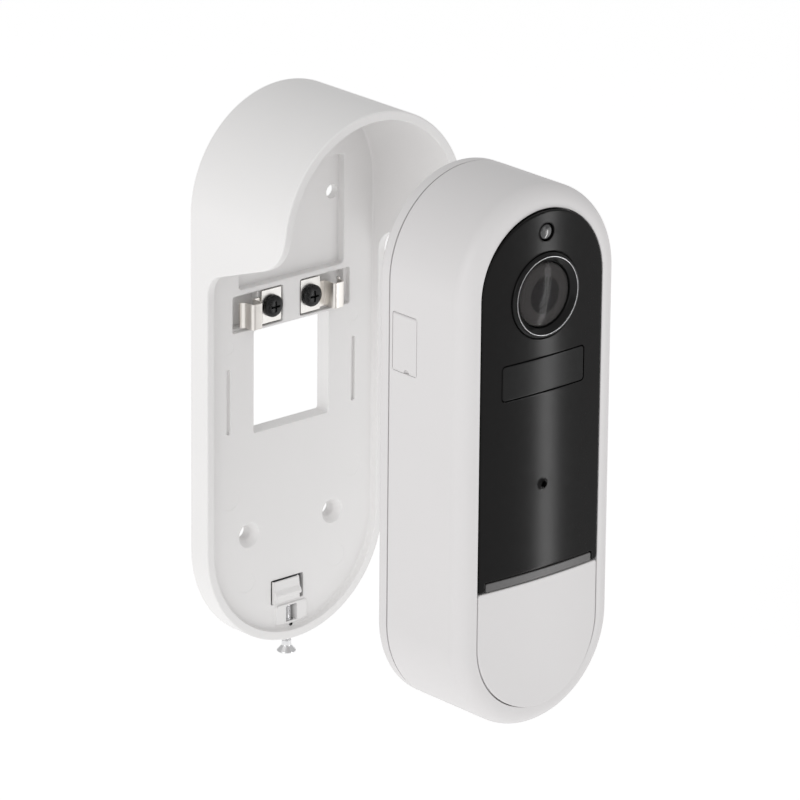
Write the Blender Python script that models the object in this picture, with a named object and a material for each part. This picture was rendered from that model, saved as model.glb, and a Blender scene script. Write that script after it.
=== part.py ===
"""Video doorbell: a wall bracket with a rain hood, and the camera unit that docks in it.

Metres, +Z up. The bracket's back lies on the plane Y = 0 and everything faces -Y.
The origin is on the bracket's back, 2.7 mm above the line through its two lower fixing holes.
The camera unit is drawn undocked, straight in front of its place in the bracket.
"""

import math

import bmesh
import bpy
from mathutils import Matrix, Vector

MM = 0.001

# ---- Driving sizes, in millimetres ------------------------------------------------

TOP_ARC_Z = 84.0  # height of the centre of the rounded top
BOTTOM_ARC_Z = -4.0  # height of the centre of the rounded bottom
ARC_STEPS = 28  # segments in each half circle of an outline

# Bracket
BRACKET_RADIUS = 29.3
BRACKET_WALL = 2.4
BRACKET_INNER = BRACKET_RADIUS - BRACKET_WALL
HOOD_DEPTH = 36.0
TRAY_DEPTH = 6.5
FLOOR_Y = -4.4
UPPER_FLOOR_Y = -2.2
UPPER_FLOOR_HALF = 17.2
LEDGE_Z = 63.0
UPPER_FLOOR_TOP_Z = 92.0
STEP_Z = 64.5  # where the tray's edge starts to turn forward into the hood's
STEP_SLOPE = 19.0  # degrees that the edge climbs on its way forward
STEP_RADIUS_LOW = 6.5
STEP_RADIUS_HIGH = 12.0
WINDOW_HALF = 12.3
WINDOW_Z = (24.3, 52.0)
FIXING_X = 13.8
FIXING_Z = -2.7
FIXING_UPPER_X = 15.0
FIXING_UPPER_Z = 81.8
FIXING_RADIUS = 1.8
GROOVE_X = 20.6
GROOVE_Z = (25.6, 42.8)

# Terminals
TERMINAL_Z = 56.8
TERMINAL_HALF_HEIGHT = 4.8
TERMINAL_POCKET_HALF = 19.2
TERMINAL_POST_HALF = 2.8
TERMINAL_SCREW_X = 6.4
TERMINAL_FLOOR_Y = -3.0
SPRING_FLOOR_Y = -0.9
CLAMP_HALF = 3.2
CONTACT_X = 13.4
CONTACT_CREST_Y = -7.4
INSERT_RADIUS = 2.2
TERMINAL_SHANK = 1.4
SCREW_HEAD_RADIUS = 2.85

# Retaining screw and latch, at the bottom of the bracket
SCREW_Y = -2.8
SCREW_RADIUS = 1.25
SCREW_HEAD_TOP_Z = -36.3
SCREW_LENGTH = 13.0
BOSS_FRONT_Y = -4.9
BOSS_WINDOW_Z = (-29.4, -24.5)
LATCH_X = (-6.5, 4.2)
LATCH_Z = (-23.6, -17.1)

# Camera unit, in its own frame: Y = 0 is the plane of its back
UNIT_REST_Y = -66.3  # where that plane is drawn
UNIT_RADIUS = 25.0
HOUSING_BACK_Y = -3.6
HOUSING_INNER = 22.8
FRONT_Y = -30.5
FRONT_FILLET = 4.4
OPENING_RADIUS = 20.35
LEDGE_Y = -28.6
PANEL_RADIUS = 20.1
PANEL_EDGE_Y = -30.6
PANEL_CROWN = 1.0
PANEL_BOTTOM_Z = 10.0
COVER_SIDE_Y = -3.2
BOSS_X = 13.3
BOSS_OUT = 15.7  # from each arc's centre
LENS_Z = 82.3
LIGHT_SENSOR_Z = 98.2
PIR_Z = 62.3
MICROPHONE_Z = 34.3
LIGHT_BAR_HALF = 17.2
BUTTON_TOP_Z = 9.7
BUTTON_POST_Z = -6.0
FLAP_Y = (-13.2, -4.6)
FLAP_Z = (62.0, 76.6)
FLAP_HINGE_X = -24.3
FLAP_HINGE_Z = 76.05


# ---- Scene and materials ----------------------------------------------------------


def clear_scene():
    for thing in list(bpy.data.objects):
        bpy.data.objects.remove(thing, do_unlink=True)


def material(name, colour, roughness, metallic=0.0, alpha=1.0):
    made = bpy.data.materials.get(name)
    if made is None:
        made = bpy.data.materials.new(name)
        made.use_nodes = True
        shader = made.node_tree.nodes["Principled BSDF"]
        shader.inputs["Base Color"].default_value = (*colour, 1.0)
        shader.inputs["Roughness"].default_value = roughness
        shader.inputs["Metallic"].default_value = metallic
        shader.inputs["Alpha"].default_value = alpha
        made.diffuse_color = (*colour, alpha)
    return made


def white_plastic():
    return material("white_plastic", (0.75, 0.735, 0.73), 0.42)


def black_gloss():
    return material("black_gloss", (0.012, 0.012, 0.013), 0.08)


def black_plastic():
    return material("black_plastic", (0.02, 0.02, 0.022), 0.45)


def nickel():
    return material("nickel", (0.72, 0.69, 0.66), 0.28, 1.0)


def steel():
    return material("steel", (0.60, 0.60, 0.61), 0.32, 1.0)


def black_screw():
    return material("black_screw", (0.02, 0.02, 0.02), 0.4, 0.6)


def brass():
    return material("brass", (0.72, 0.53, 0.25), 0.3, 1.0)


def chrome():
    return material("chrome", (0.78, 0.78, 0.80), 0.12, 1.0)


def dark_glass():
    return material("dark_glass", (0.10, 0.10, 0.11), 0.04)


def smoke_diffuser():
    return material("smoke_diffuser", (0.42, 0.41, 0.41), 0.3)


def silicone():
    return material("silicone", (0.16, 0.16, 0.17), 0.7)


def circuit_board():
    return material("circuit_board", (0.02, 0.11, 0.05), 0.4)


def aluminium():
    return material("aluminium", (0.66, 0.67, 0.69), 0.38, 1.0)


def battery_wrap():
    return material("battery_wrap", (0.10, 0.13, 0.20), 0.5)


def polyimide():
    return material("polyimide", (0.55, 0.27, 0.05), 0.4)


# ---- Shapes -----------------------------------------------------------------------


def finish(name, mesh, made_of, parent=None, origin=(0, 0, 0), smooth=True):
    """An object from a bmesh drawn in its parent's frame, with its origin moved to a point."""
    bmesh.ops.remove_doubles(mesh, verts=mesh.verts, dist=1e-4)
    bmesh.ops.recalc_face_normals(mesh, faces=mesh.faces)
    bmesh.ops.translate(mesh, verts=mesh.verts, vec=-Vector(origin))
    bmesh.ops.scale(mesh, verts=mesh.verts, vec=(MM, MM, MM))
    data = bpy.data.meshes.new(name)
    mesh.to_mesh(data)
    mesh.free()
    thing = bpy.data.objects.new(name, data)
    bpy.context.scene.collection.objects.link(thing)
    thing.location = Vector(origin) * MM
    if made_of is not None:
        data.materials.append(made_of)
    if parent is not None:
        thing.parent = parent
    if smooth:
        data.shade_smooth()
        data.set_sharp_from_angle(angle=math.radians(35))
    return thing


def empty(name, place):
    made = bpy.data.objects.new(name, None)
    made.empty_display_size = 0.01
    made.location = Vector(place) * MM
    bpy.context.scene.collection.objects.link(made)
    return made


def arc(centre, radius, start, end, steps):
    """Points of an arc, both ends included. Angles in degrees."""
    return [
        (
            centre[0] + radius * math.cos(math.radians(start + (end - start) * i / steps)),
            centre[1] + radius * math.sin(math.radians(start + (end - start) * i / steps)),
        )
        for i in range(steps + 1)
    ]


def capsule(radius, top=TOP_ARC_Z, bottom=BOTTOM_ARC_Z, steps=ARC_STEPS):
    """The stadium outline in X and Z, anticlockwise as seen from the front."""
    return arc((0, top), radius, 0, 180, steps) + arc((0, bottom), radius, 180, 360, steps)


def rounded(x, z, corner=0.0, steps=4):
    """A rectangle with rounded corners, from its two ranges."""
    if corner == 0:
        return [(x[0], z[0]), (x[1], z[0]), (x[1], z[1]), (x[0], z[1])]
    return (
        arc((x[1] - corner, z[1] - corner), corner, 0, 90, steps)
        + arc((x[0] + corner, z[1] - corner), corner, 90, 180, steps)
        + arc((x[0] + corner, z[0] + corner), corner, 180, 270, steps)
        + arc((x[1] - corner, z[0] + corner), corner, 270, 360, steps)
    )


def prism(outline, start, end, axis="y"):
    """A bmesh of an outline extruded along an axis. The outline's plane is XZ, YZ or XY."""
    place = {
        "x": lambda a, b, depth: (depth, a, b),
        "y": lambda a, b, depth: (a, depth, b),
        "z": lambda a, b, depth: (a, b, depth),
    }[axis]
    mesh = bmesh.new()
    face = mesh.faces.new([mesh.verts.new(place(a, b, start)) for a, b in outline])
    grown = bmesh.ops.extrude_face_region(mesh, geom=[face])
    moved = [item for item in grown["geom"] if isinstance(item, bmesh.types.BMVert)]
    bmesh.ops.translate(mesh, verts=moved, vec=place(0, 0, end - start))
    return mesh


def box(x, y, z, corner=0.0):
    return prism(rounded(x, z, corner), y[0], y[1])


def ringed(profile, closed, top=TOP_ARC_Z, bottom=BOTTOM_ARC_Z):
    """A profile of (radius, y) points run round the stadium outline."""
    mesh = bmesh.new()
    rings = []
    for radius, y in profile:
        outline = capsule(radius, top, bottom)
        rings.append([mesh.verts.new((x, y, z)) for x, z in outline])
    count = len(rings[0])
    pairs = list(zip(rings, rings[1:]))
    if closed:
        pairs.append((rings[-1], rings[0]))
    for near, far in pairs:
        for i in range(count):
            j = (i + 1) % count
            mesh.faces.new((near[i], near[j], far[j], far[i]))
    if not closed:
        mesh.faces.new(rings[0])
        mesh.faces.new(rings[-1][::-1])
    return mesh


def turned(profile, centre, steps=32, axis="y"):
    """A lathe shape: (radius, along) points spun about the axis through a centre."""
    mesh = bmesh.new()
    closed = profile[0][0] > 0 or profile[-1][0] > 0
    verts = [mesh.verts.new((radius, 0, along)) for radius, along in profile]
    ends = list(zip(verts, verts[1:]))
    if closed:
        ends.append((verts[-1], verts[0]))
    edges = [mesh.edges.new(pair) for pair in ends]
    bmesh.ops.spin(
        mesh, geom=verts + edges, cent=(0, 0, 0), axis=(0, 0, 1), angle=2 * math.pi,
        steps=steps, use_merge=True, use_duplicate=False,
    )
    bmesh.ops.remove_doubles(mesh, verts=mesh.verts, dist=1e-4)
    turn = {
        "y": Matrix.Rotation(math.radians(-90), 4, "X"),
        "z": Matrix.Identity(4),
        "x": Matrix.Rotation(math.radians(90), 4, "Y"),
    }[axis]
    bmesh.ops.transform(mesh, matrix=turn, verts=mesh.verts)
    bmesh.ops.translate(mesh, verts=mesh.verts, vec=centre)
    return mesh


def disc(radius, y, x=0.0, z=0.0, steps=32):
    """A plain cylinder along Y between two depths."""
    return prism(arc((x, z), radius, 0, 360 - 360 / steps, steps - 1), y[0], y[1])


def shape(target, tools, operation="DIFFERENCE"):
    """Cuts or joins bmesh tools with a target and leaves one plain mesh on it."""
    cutters = []
    for number, tool in enumerate(tools):
        cutter = finish(f"tool_{number}", tool, None, smooth=False)
        cutter.parent = target.parent
        cutter.hide_render = True
        cutter.display_type = "WIRE"
        step = target.modifiers.new(f"tool_{number}", "BOOLEAN")
        step.operation = operation
        step.object = cutter
        cutters.append(cutter)
    bpy.context.view_layer.update()
    graph = bpy.context.evaluated_depsgraph_get()
    made = bpy.data.meshes.new_from_object(target.evaluated_get(graph))
    target.modifiers.clear()
    old = target.data
    target.data = made
    bpy.data.meshes.remove(old)
    made.name = target.name
    for cutter in cutters:
        bpy.data.objects.remove(cutter, do_unlink=True)
    made.shade_smooth()
    made.set_sharp_from_angle(angle=math.radians(35))
    return target


# ---- Bracket ----------------------------------------------------------------------


def hood_side_cut():
    """The outline in Y and Z that takes the hood away below its S-shaped front edge."""
    slope = math.radians(STEP_SLOPE)
    low_centre = (-TRAY_DEPTH - STEP_RADIUS_LOW, STEP_Z)
    forward = HOOD_DEPTH - STEP_RADIUS_HIGH - TRAY_DEPTH - STEP_RADIUS_LOW
    forward += (STEP_RADIUS_LOW + STEP_RADIUS_HIGH) * math.sin(slope)
    climb = (STEP_RADIUS_LOW + STEP_RADIUS_HIGH) * math.cos(slope) + forward * math.tan(slope)
    high_centre = (-HOOD_DEPTH + STEP_RADIUS_HIGH - 0.06, STEP_Z + climb)
    edge = arc(low_centre, STEP_RADIUS_LOW, 0, 90 - STEP_SLOPE, 8)
    edge += arc(high_centre, STEP_RADIUS_HIGH, 270 - STEP_SLOPE, 180, 12)
    clear = -HOOD_DEPTH - 2
    return [(-TRAY_DEPTH, -40), *edge, (clear, edge[-1][1]), (clear, -40)]


def terminal_cuts(side):
    """One side's terminal pocket, its deeper bay for the spring, and the insert's hole."""
    low = TERMINAL_Z - TERMINAL_HALF_HEIGHT
    high = TERMINAL_Z + TERMINAL_HALF_HEIGHT
    pocket = sorted((side * TERMINAL_POST_HALF, side * TERMINAL_POCKET_HALF))
    bay = sorted((side * (TERMINAL_SCREW_X + CLAMP_HALF + 0.6), side * (TERMINAL_POCKET_HALF - 0.9)))
    return [
        box(pocket, (TERMINAL_FLOOR_Y, -12), (low, high), 0.6),
        box(bay, (SPRING_FLOOR_Y, -12), (low + 0.5, high - 0.5), 0.4),
        disc(INSERT_RADIUS + 0.15, (1, -12), side * TERMINAL_SCREW_X, TERMINAL_Z, 24),
    ]


def fixing_cuts(side):
    """One side's countersunk lower hole, plain upper hole and shallow groove."""
    countersink = [(0, -12), (3.5, -12), (3.5, FLOOR_Y), (FIXING_RADIUS - 0.1, FLOOR_Y + 2.2), (0, FLOOR_Y + 2.2)]
    groove = sorted((side * (GROOVE_X - 0.6), side * (GROOVE_X + 0.6)))
    return [
        disc(FIXING_RADIUS, (1, -12), side * FIXING_X, FIXING_Z, 24),
        turned(countersink, (side * FIXING_X, 0, FIXING_Z), 24),
        disc(FIXING_RADIUS, (1, -12), side * FIXING_UPPER_X, FIXING_UPPER_Z, 24),
        box(groove, (FLOOR_Y + 0.9, -12), GROOVE_Z, 0.5),
    ]


def screw_cuts():
    """The retaining screw's bore and countersink in the bottom wall, the room in which its
    captive ring travels, and the window on its thread."""
    bore = [(0, -36), (SCREW_RADIUS + 0.15, -36), (SCREW_RADIUS + 0.15, LATCH_Z[0] + 0.4), (0, LATCH_Z[0] + 0.4)]
    room = [(0, -31.5), (1.75, -31.5), (1.75, -26.2), (0, -26.2)]
    seat = [(0, -36), (2.6, -36), (2.6, -33.25), (1.3, -31.85), (0, -31.85)]
    half = 1.85
    corner = 0.6
    window = [(-half, BOSS_WINDOW_Z[0]), (half, BOSS_WINDOW_Z[0])]
    window += arc((half - corner, BOSS_WINDOW_Z[1] - corner), corner, 0, 90, 5)
    window += arc((corner - half, BOSS_WINDOW_Z[1] - corner), corner, 90, 180, 5)
    return [
        box(LATCH_X, (1, -12), LATCH_Z, 0.3),
        prism(window, -0.7, -12),
        turned(bore, (0, SCREW_Y, 0), 20, axis="z"),
        turned(room, (0, SCREW_Y, 0), 16, axis="z"),
        turned(seat, (0, SCREW_Y, 0), 24, axis="z"),
    ]


def make_bracket_shell():
    profile = [
        (BRACKET_RADIUS - 0.3, 0),
        (BRACKET_RADIUS, -0.3),
        (BRACKET_RADIUS, -HOOD_DEPTH + 0.5),
        (BRACKET_RADIUS - 0.5, -HOOD_DEPTH),
        (BRACKET_INNER + 0.3, -HOOD_DEPTH),
        (BRACKET_INNER, -HOOD_DEPTH + 0.3),
        (BRACKET_INNER, FLOOR_Y - 0.7),
        (BRACKET_INNER - 0.7, FLOOR_Y),
    ]
    shell = finish("bracket_shell", ringed(profile, closed=False), white_plastic())
    upper_floor = ((-UPPER_FLOOR_HALF, UPPER_FLOOR_HALF), (UPPER_FLOOR_Y, -12), (LEDGE_Z, UPPER_FLOOR_TOP_Z))
    window = ((-WINDOW_HALF, WINDOW_HALF), (1, -12), (WINDOW_Z[0], WINDOW_Z[1] + 0.4))
    shape(shell, [prism(hood_side_cut(), -40, 40, axis="x"), box(*upper_floor, 1.0)])
    shape(shell, [box(*window, 0.5), *terminal_cuts(-1), *terminal_cuts(1)])
    boss = [(-5.4, -32.0), (5.4, -32.0)] + arc((4.2, -26.5), 1.2, 0, 90, 4) + arc((-4.2, -26.5), 1.2, 90, 180, 4)
    shape(shell, [prism(boss, -3.0, BOSS_FRONT_Y)], "UNION")
    return shape(shell, [*fixing_cuts(-1), *fixing_cuts(1), *screw_cuts()])


def make_terminal_insert(name, side):
    ring = [
        (INSERT_RADIUS, -0.5),
        (INSERT_RADIUS, TERMINAL_FLOOR_Y),
        (TERMINAL_SHANK + 0.15, TERMINAL_FLOOR_Y),
        (TERMINAL_SHANK + 0.15, -0.5),
    ]
    return finish(name, turned(ring, (side * TERMINAL_SCREW_X, 0, TERMINAL_Z), 24), brass())


def strip_outline(path, thickness):
    """A bent strip's outline: its path, and the same path moved to one side by the thickness."""
    far = []
    for i, point in enumerate(path):
        before = Vector(path[max(i - 1, 0)])
        after = Vector(path[min(i + 1, len(path) - 1)])
        along = (after - before).normalized()
        far.append((point[0] - along.y * thickness, point[1] + along.x * thickness))
    return path + far[::-1]


def make_contact_strip(name, side):
    """A flat plate under the clamp, then a spring hump that stands proud of the platform."""
    plate = TERMINAL_FLOOR_Y - 0.12
    path = [
        (side * (TERMINAL_SCREW_X - CLAMP_HALF + 0.1), plate),
        (side * (CONTACT_X - 1.9), plate),
        (side * (CONTACT_X - 1.5), plate - 0.45),
        (side * (CONTACT_X - 1.4), CONTACT_CREST_Y + 0.9),
        (side * (CONTACT_X - 0.9), CONTACT_CREST_Y + 0.42),
        (side * (CONTACT_X + 0.9), CONTACT_CREST_Y + 0.42),
        (side * (CONTACT_X + 1.35), CONTACT_CREST_Y + 0.9),
        (side * (CONTACT_X + 1.45), -4.6),
        (side * (CONTACT_X + 2.3), -3.5),
        (side * (CONTACT_X + 3.0), -3.4),
    ]
    outline = strip_outline(path, -0.4 * side)
    low = TERMINAL_Z - TERMINAL_HALF_HEIGHT + 0.7
    high = TERMINAL_Z + 2.6
    strip = finish(name, prism(outline, low, high, axis="z"), nickel())
    hole = disc(TERMINAL_SHANK + 0.25, (1, -12), side * TERMINAL_SCREW_X, TERMINAL_Z, 20)
    return shape(strip, [hole])


def make_terminal_clamp(name, side):
    """The square plate that the screw presses on the wire."""
    back = TERMINAL_FLOOR_Y - 0.65
    x = sorted((side * (TERMINAL_SCREW_X - CLAMP_HALF), side * (TERMINAL_SCREW_X + CLAMP_HALF)))
    z = (TERMINAL_Z - TERMINAL_HALF_HEIGHT + 0.4, TERMINAL_Z + TERMINAL_HALF_HEIGHT - 0.4)
    origin = (side * TERMINAL_SCREW_X, back, TERMINAL_Z)
    clamp = finish(name, box(x, (back, back - 0.5), z, 0.2), nickel(), origin=origin)
    return shape(clamp, [disc(TERMINAL_SHANK + 0.2, (1, -12), side * TERMINAL_SCREW_X, TERMINAL_Z, 20)])


def cross_recess(centre, size, depth, axis):
    """Two crossed bars that cut a screwdriver recess. The centre is on the head's face."""
    x, y, z = centre
    half = size * 0.18
    if axis == "y":
        return [
            box((x - size, x + size), (y - 1, y + depth), (z - half, z + half)),
            box((x - half, x + half), (y - 1, y + depth), (z - size, z + size)),
        ]
    return [
        prism(rounded((x - size, x + size), (y - half, y + half)), z - 1, z + depth, axis="z"),
        prism(rounded((x - half, x + half), (y - size, y + size)), z - 1, z + depth, axis="z"),
    ]


def make_terminal_screw(name, side):
    seat = TERMINAL_FLOOR_Y - 1.3
    profile = [
        (0, -0.8),
        (TERMINAL_SHANK - 0.3, -0.8),
        (TERMINAL_SHANK, -1.1),
        (TERMINAL_SHANK, seat),
        (SCREW_HEAD_RADIUS, seat),
        (SCREW_HEAD_RADIUS, seat - 0.75),
        (SCREW_HEAD_RADIUS - 0.35, seat - 1.25),
        (SCREW_HEAD_RADIUS - 1.1, seat - 1.6),
        (0, seat - 1.7),
    ]
    centre = (side * TERMINAL_SCREW_X, 0, TERMINAL_Z)
    screw = finish(name, turned(profile, centre, 24), black_screw(), origin=centre)
    face = (side * TERMINAL_SCREW_X, seat - 1.7, TERMINAL_Z)
    return shape(screw, cross_recess(face, 1.5, 1.0, "y"))


def make_latch_tongue():
    """A springy tongue with a sloped tooth that catches the recess in the unit's back."""
    root = LATCH_Z[1] - 0.3
    foot = LATCH_Z[0] + 0.4
    back = -4.5
    front = -5.35
    outline = [
        (back, root),
        (back, foot),
        (front, foot),
        (front, -21.9),
        (-6.1, -21.4),
        (-6.1, -20.9),
        (front, -19.7),
        (-5.1, root),
    ]
    tongue = prism(outline, LATCH_X[0] + 0.3, LATCH_X[1] - 2.1, axis="x")
    return finish("latch_tongue", tongue, white_plastic(), origin=(0, (back + front) / 2, root - 0.3))


def make_screw_guide():
    """The black insert behind the tongue, with the channel that takes the screw's tip."""
    x = (LATCH_X[0] + 0.3, LATCH_X[1] - 0.3)
    guide = finish(
        "screw_guide", box(x, (-0.3, -3.6), (LATCH_Z[0] + 0.3, LATCH_Z[1] - 0.3)), black_plastic()
    )
    channel = [(0, -24), (SCREW_RADIUS + 0.25, -24), (SCREW_RADIUS + 0.25, -18.6), (0, -18.6)]
    return shape(guide, [turned(channel, (0, SCREW_Y, 0), 24, axis="z")])


def make_captive_ring():
    bottom = -31.38
    top = bottom + 0.45
    ring = [(1.64, bottom), (1.64, top), (SCREW_RADIUS + 0.11, top), (SCREW_RADIUS + 0.11, bottom)]
    centre = (0, SCREW_Y, 0)
    return finish("captive_ring", turned(ring, centre, 20, axis="z"), black_plastic(), origin=(0, SCREW_Y, bottom))


def make_retaining_screw():
    face = SCREW_HEAD_TOP_Z - 1.7
    tip = SCREW_HEAD_TOP_Z + SCREW_LENGTH
    profile = [
        (0, face),
        (2.5, face),
        (2.5, face + 0.3),
        (SCREW_RADIUS, SCREW_HEAD_TOP_Z),
        (SCREW_RADIUS, tip - 0.5),
        (SCREW_RADIUS - 0.5, tip),
        (0, tip),
    ]
    centre = (0, SCREW_Y, 0)
    screw = finish("retaining_screw", turned(profile, centre, 24, axis="z"), steel(), origin=(0, SCREW_Y, face))
    return shape(screw, cross_recess((0, SCREW_Y, face), 1.3, 1.0, "z"))


# ---- Camera unit: casing ----------------------------------------------------------


def crowned(name, outline, back, made_of, unit, lift=0.0, origin=(0, 0, 0)):
    """An outline in X and Z given the front panel's curve: a shallow arc across the width."""
    steps = 20
    across = [PANEL_RADIUS * 1.1 * (2 * i / steps - 1) for i in range(steps + 1)]
    curve = [(x, PANEL_EDGE_Y - lift - PANEL_CROWN * (1 - (x / PANEL_RADIUS) ** 2)) for x in across]
    solid = finish(name, prism(outline, back, -36), made_of, unit, origin)
    keep = prism([*curve, (across[-1], -10), (across[0], -10)], -60, 130, axis="z")
    return shape(solid, [keep], "INTERSECT")


def make_front_housing(unit):
    fillet = arc((UNIT_RADIUS - FRONT_FILLET, -FRONT_Y - FRONT_FILLET), FRONT_FILLET, 0, 90, 7)
    profile = [(UNIT_RADIUS - 0.2, HOUSING_BACK_Y), (UNIT_RADIUS, HOUSING_BACK_Y - 0.2)]
    profile += [(radius, -depth) for radius, depth in fillet]
    profile += [
        (OPENING_RADIUS, FRONT_Y + 0.25),
        (OPENING_RADIUS, LEDGE_Y),
        (18.4, LEDGE_Y),
        (18.4, LEDGE_Y + 1.2),
        (HOUSING_INNER, LEDGE_Y + 2.2),
        (HOUSING_INNER, HOUSING_BACK_Y),
    ]
    housing = finish("front_housing", ringed(profile, closed=True), white_plastic(), unit)
    web = box((-22.9, 22.9), (LEDGE_Y + 0.1, LEDGE_Y + 1.5), (13.0, 16.0))
    bosses = [disc(2.7, (-5.4, -28.0), x, z, 20) for x, z in boss_places()]
    shape(housing, [web, *bosses], "UNION")
    pilots = [disc(1.15, (-5, -14.5), x, z, 16) for x, z in boss_places()]
    flap_seat = prism(rounded((FLAP_Y[0] - 0.25, FLAP_Y[1] + 0.25), (FLAP_Z[0] - 0.3, FLAP_Z[1] + 0.45), 0.5),
                      -27, -23.45, axis="x")
    port = prism(rounded((-11.6, -6.0), (62.9, 75.7), 1.0), -27, -21, axis="x")
    slots = [box((x - 0.7, x + 0.7), (-9, -19), (-31, -24), 0.3) for x in (-4.4, 0.0, 4.4)]
    return shape(housing, [*pilots, flap_seat, port, *slots])


def boss_places(pull=1.0):
    """Where the four cover screws stand, or that place drawn in towards its arc's centre."""
    heights = (TOP_ARC_Z + BOSS_OUT * pull, BOTTOM_ARC_Z - BOSS_OUT * pull)
    return [(x * pull, z) for z in heights for x in (-BOSS_X, BOSS_X)]


def make_rear_cover(unit):
    profile = [
        (UNIT_RADIUS - 0.8, 0),
        (UNIT_RADIUS - 0.2, -0.5),
        (UNIT_RADIUS - 0.05, -1.1),
        (UNIT_RADIUS - 0.05, COVER_SIDE_Y + 0.15),
        (UNIT_RADIUS - 0.2, COVER_SIDE_Y),
        (21.9, COVER_SIDE_Y),
        (21.9, -5.0),
        (20.4, -5.0),
        (20.4, -2.2),
    ]
    cover = finish("rear_cover", ringed(profile, closed=False), white_plastic(), unit)
    pad = box((-12.5, 12.5), (-1.5, -3.6), (TERMINAL_Z - 6.7, TERMINAL_Z + 6.8), 1.0)
    posts = [disc(2.35, (-1.5, -5.1), x, z, 20) for x, z in boss_places(0.94)]
    shape(cover, [pad, *posts], "UNION")
    cuts = [
        box((-10.4, 10.4), (1, -2.3), (TERMINAL_Z - 5.4, TERMINAL_Z + 5.4), 0.8),
        box((LATCH_X[0] - 0.6, LATCH_X[1] - 1.2), (1, -1.65), (LATCH_Z[0] - 0.3, LATCH_Z[1] + 0.5), 0.4),
    ]
    for side in (-1, 1):
        window = (side * CONTACT_X - 3.3, side * CONTACT_X + 3.3)
        cuts.append(box(window, (1, -6), (TERMINAL_Z - 4.6, TERMINAL_Z + 3.1), 0.4))
    for x, z in boss_places():
        cuts.append(disc(2.35, (1, -1.9), x, z, 20))
        cuts.append(disc(1.2, (1, -6), x, z, 16))
    return shape(cover, cuts)


def make_housing_seal(unit):
    ring = [(22.1, -3.55), (22.6, -3.55), (22.6, -4.7), (22.1, -4.7)]
    return finish("housing_seal", ringed(ring, closed=True), silicone(), unit)


def make_cover_screw(name, place, unit):
    x, z = place
    profile = [(0, -0.35), (2.0, -0.35), (2.0, -1.7), (0.95, -1.7), (0.95, -11.4), (0, -12.4)]
    screw = finish(name, turned(profile, (x, 0, z), 16), steel(), unit)
    bar = box((x - 1.1, x + 1.1), (0.5, -1.1), (z - 0.25, z + 0.25))
    crossbar = box((x - 0.25, x + 0.25), (0.5, -1.1), (z - 1.1, z + 1.1))
    return shape(screw, [bar, crossbar])


def make_front_panel(unit):
    outline = arc((0, TOP_ARC_Z), PANEL_RADIUS, 0, 180, ARC_STEPS)
    outline += [(-PANEL_RADIUS, PANEL_BOTTOM_Z), (PANEL_RADIUS, PANEL_BOTTOM_Z)]
    panel = crowned("front_panel", outline, LEDGE_Y - 0.25, black_gloss(), unit)
    sound_hole = [(0, -36), (1.55, -36), (1.55, -31.55), (0.8, -30.9), (0.8, -20), (0, -20)]
    return shape(
        panel,
        [
            disc(10.95, (-20, -36), 0, LENS_Z, 48),
            disc(2.25, (-20, -36), 0, LIGHT_SENSOR_Z, 24),
            box((-13.4, 13.4), (-20, -36), (PIR_Z - 4.6, PIR_Z + 4.6), 1.1),
            turned(sound_hole, (0, 0, MICROPHONE_Z), 20),
            box((-LIGHT_BAR_HALF - 0.25, LIGHT_BAR_HALF + 0.25), (-20, -36), (PANEL_BOTTOM_Z - 2, PANEL_BOTTOM_Z + 2.4)),
        ],
    )


def make_light_bar(unit):
    z = (PANEL_BOTTOM_Z, PANEL_BOTTOM_Z + 2.15)
    outline = rounded((-LIGHT_BAR_HALF, LIGHT_BAR_HALF), z, 0.5)
    return crowned("light_bar", outline, -28.2, smoke_diffuser(), unit)


def make_light_bar_board(unit):
    z = (PANEL_BOTTOM_Z - 0.2, PANEL_BOTTOM_Z + 2.4)
    board = finish("light_bar_board", box((-17.0, 17.0), (-27.4, -26.6), z), circuit_board(), unit)
    lamps = [box((x - 0.8, x + 0.8), (-27.0, -27.9), (10.4, 11.8)) for x in range(-15, 16, 6)]
    return shape(board, lamps, "UNION")


def make_call_button(unit):
    outline = arc((0, BOTTOM_ARC_Z), PANEL_RADIUS, 180, 360, ARC_STEPS)
    outline += [(PANEL_RADIUS, BUTTON_TOP_Z), (-PANEL_RADIUS, BUTTON_TOP_Z)]
    origin = (0, PANEL_EDGE_Y, BUTTON_POST_Z)
    button = crowned("call_button", outline, -29.4, white_plastic(), unit, origin=origin)
    return shape(button, [disc(3.0, (-30.4, -26.5), 0, BUTTON_POST_Z, 20)], "UNION")


def make_side_flap(unit):
    """A port cover that swings up about a hinge line in its rounded top edge."""
    half = 0.55
    x = (FLAP_HINGE_X - half, FLAP_HINGE_X + half)
    outline = [(x[1], FLAP_Z[0]), (x[1], FLAP_HINGE_Z)]
    outline += arc((FLAP_HINGE_X, FLAP_HINGE_Z), half, 0, 180, 8)[1:-1]
    outline += [(x[0], FLAP_HINGE_Z), (x[0], FLAP_Z[0])]
    middle = (FLAP_Y[0] + FLAP_Y[1]) / 2
    origin = (FLAP_HINGE_X, middle, FLAP_HINGE_Z)
    flap = finish("side_flap", prism(outline, *FLAP_Y), white_plastic(), unit, origin)
    nail = turned([(0, -26), (1.0, -26), (1.0, -24.3), (0, -24.3)], (0, middle - 0.8, FLAP_Z[0]), 16, axis="x")
    return shape(flap, [nail])


# ---- Camera unit: what shows through the front panel ------------------------------


def make_lens_ring(unit):
    ring = [
        (10.7, -28.9),
        (10.7, -32.2),
        (10.4, -32.6),
        (10.0, -32.7),
        (9.6, -32.55),
        (8.4, -31.5),
        (8.2, -31.2),
        (8.2, -28.9),
    ]
    return finish("lens_ring", turned(ring, (0, 0, LENS_Z), 56), chrome(), unit)


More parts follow.
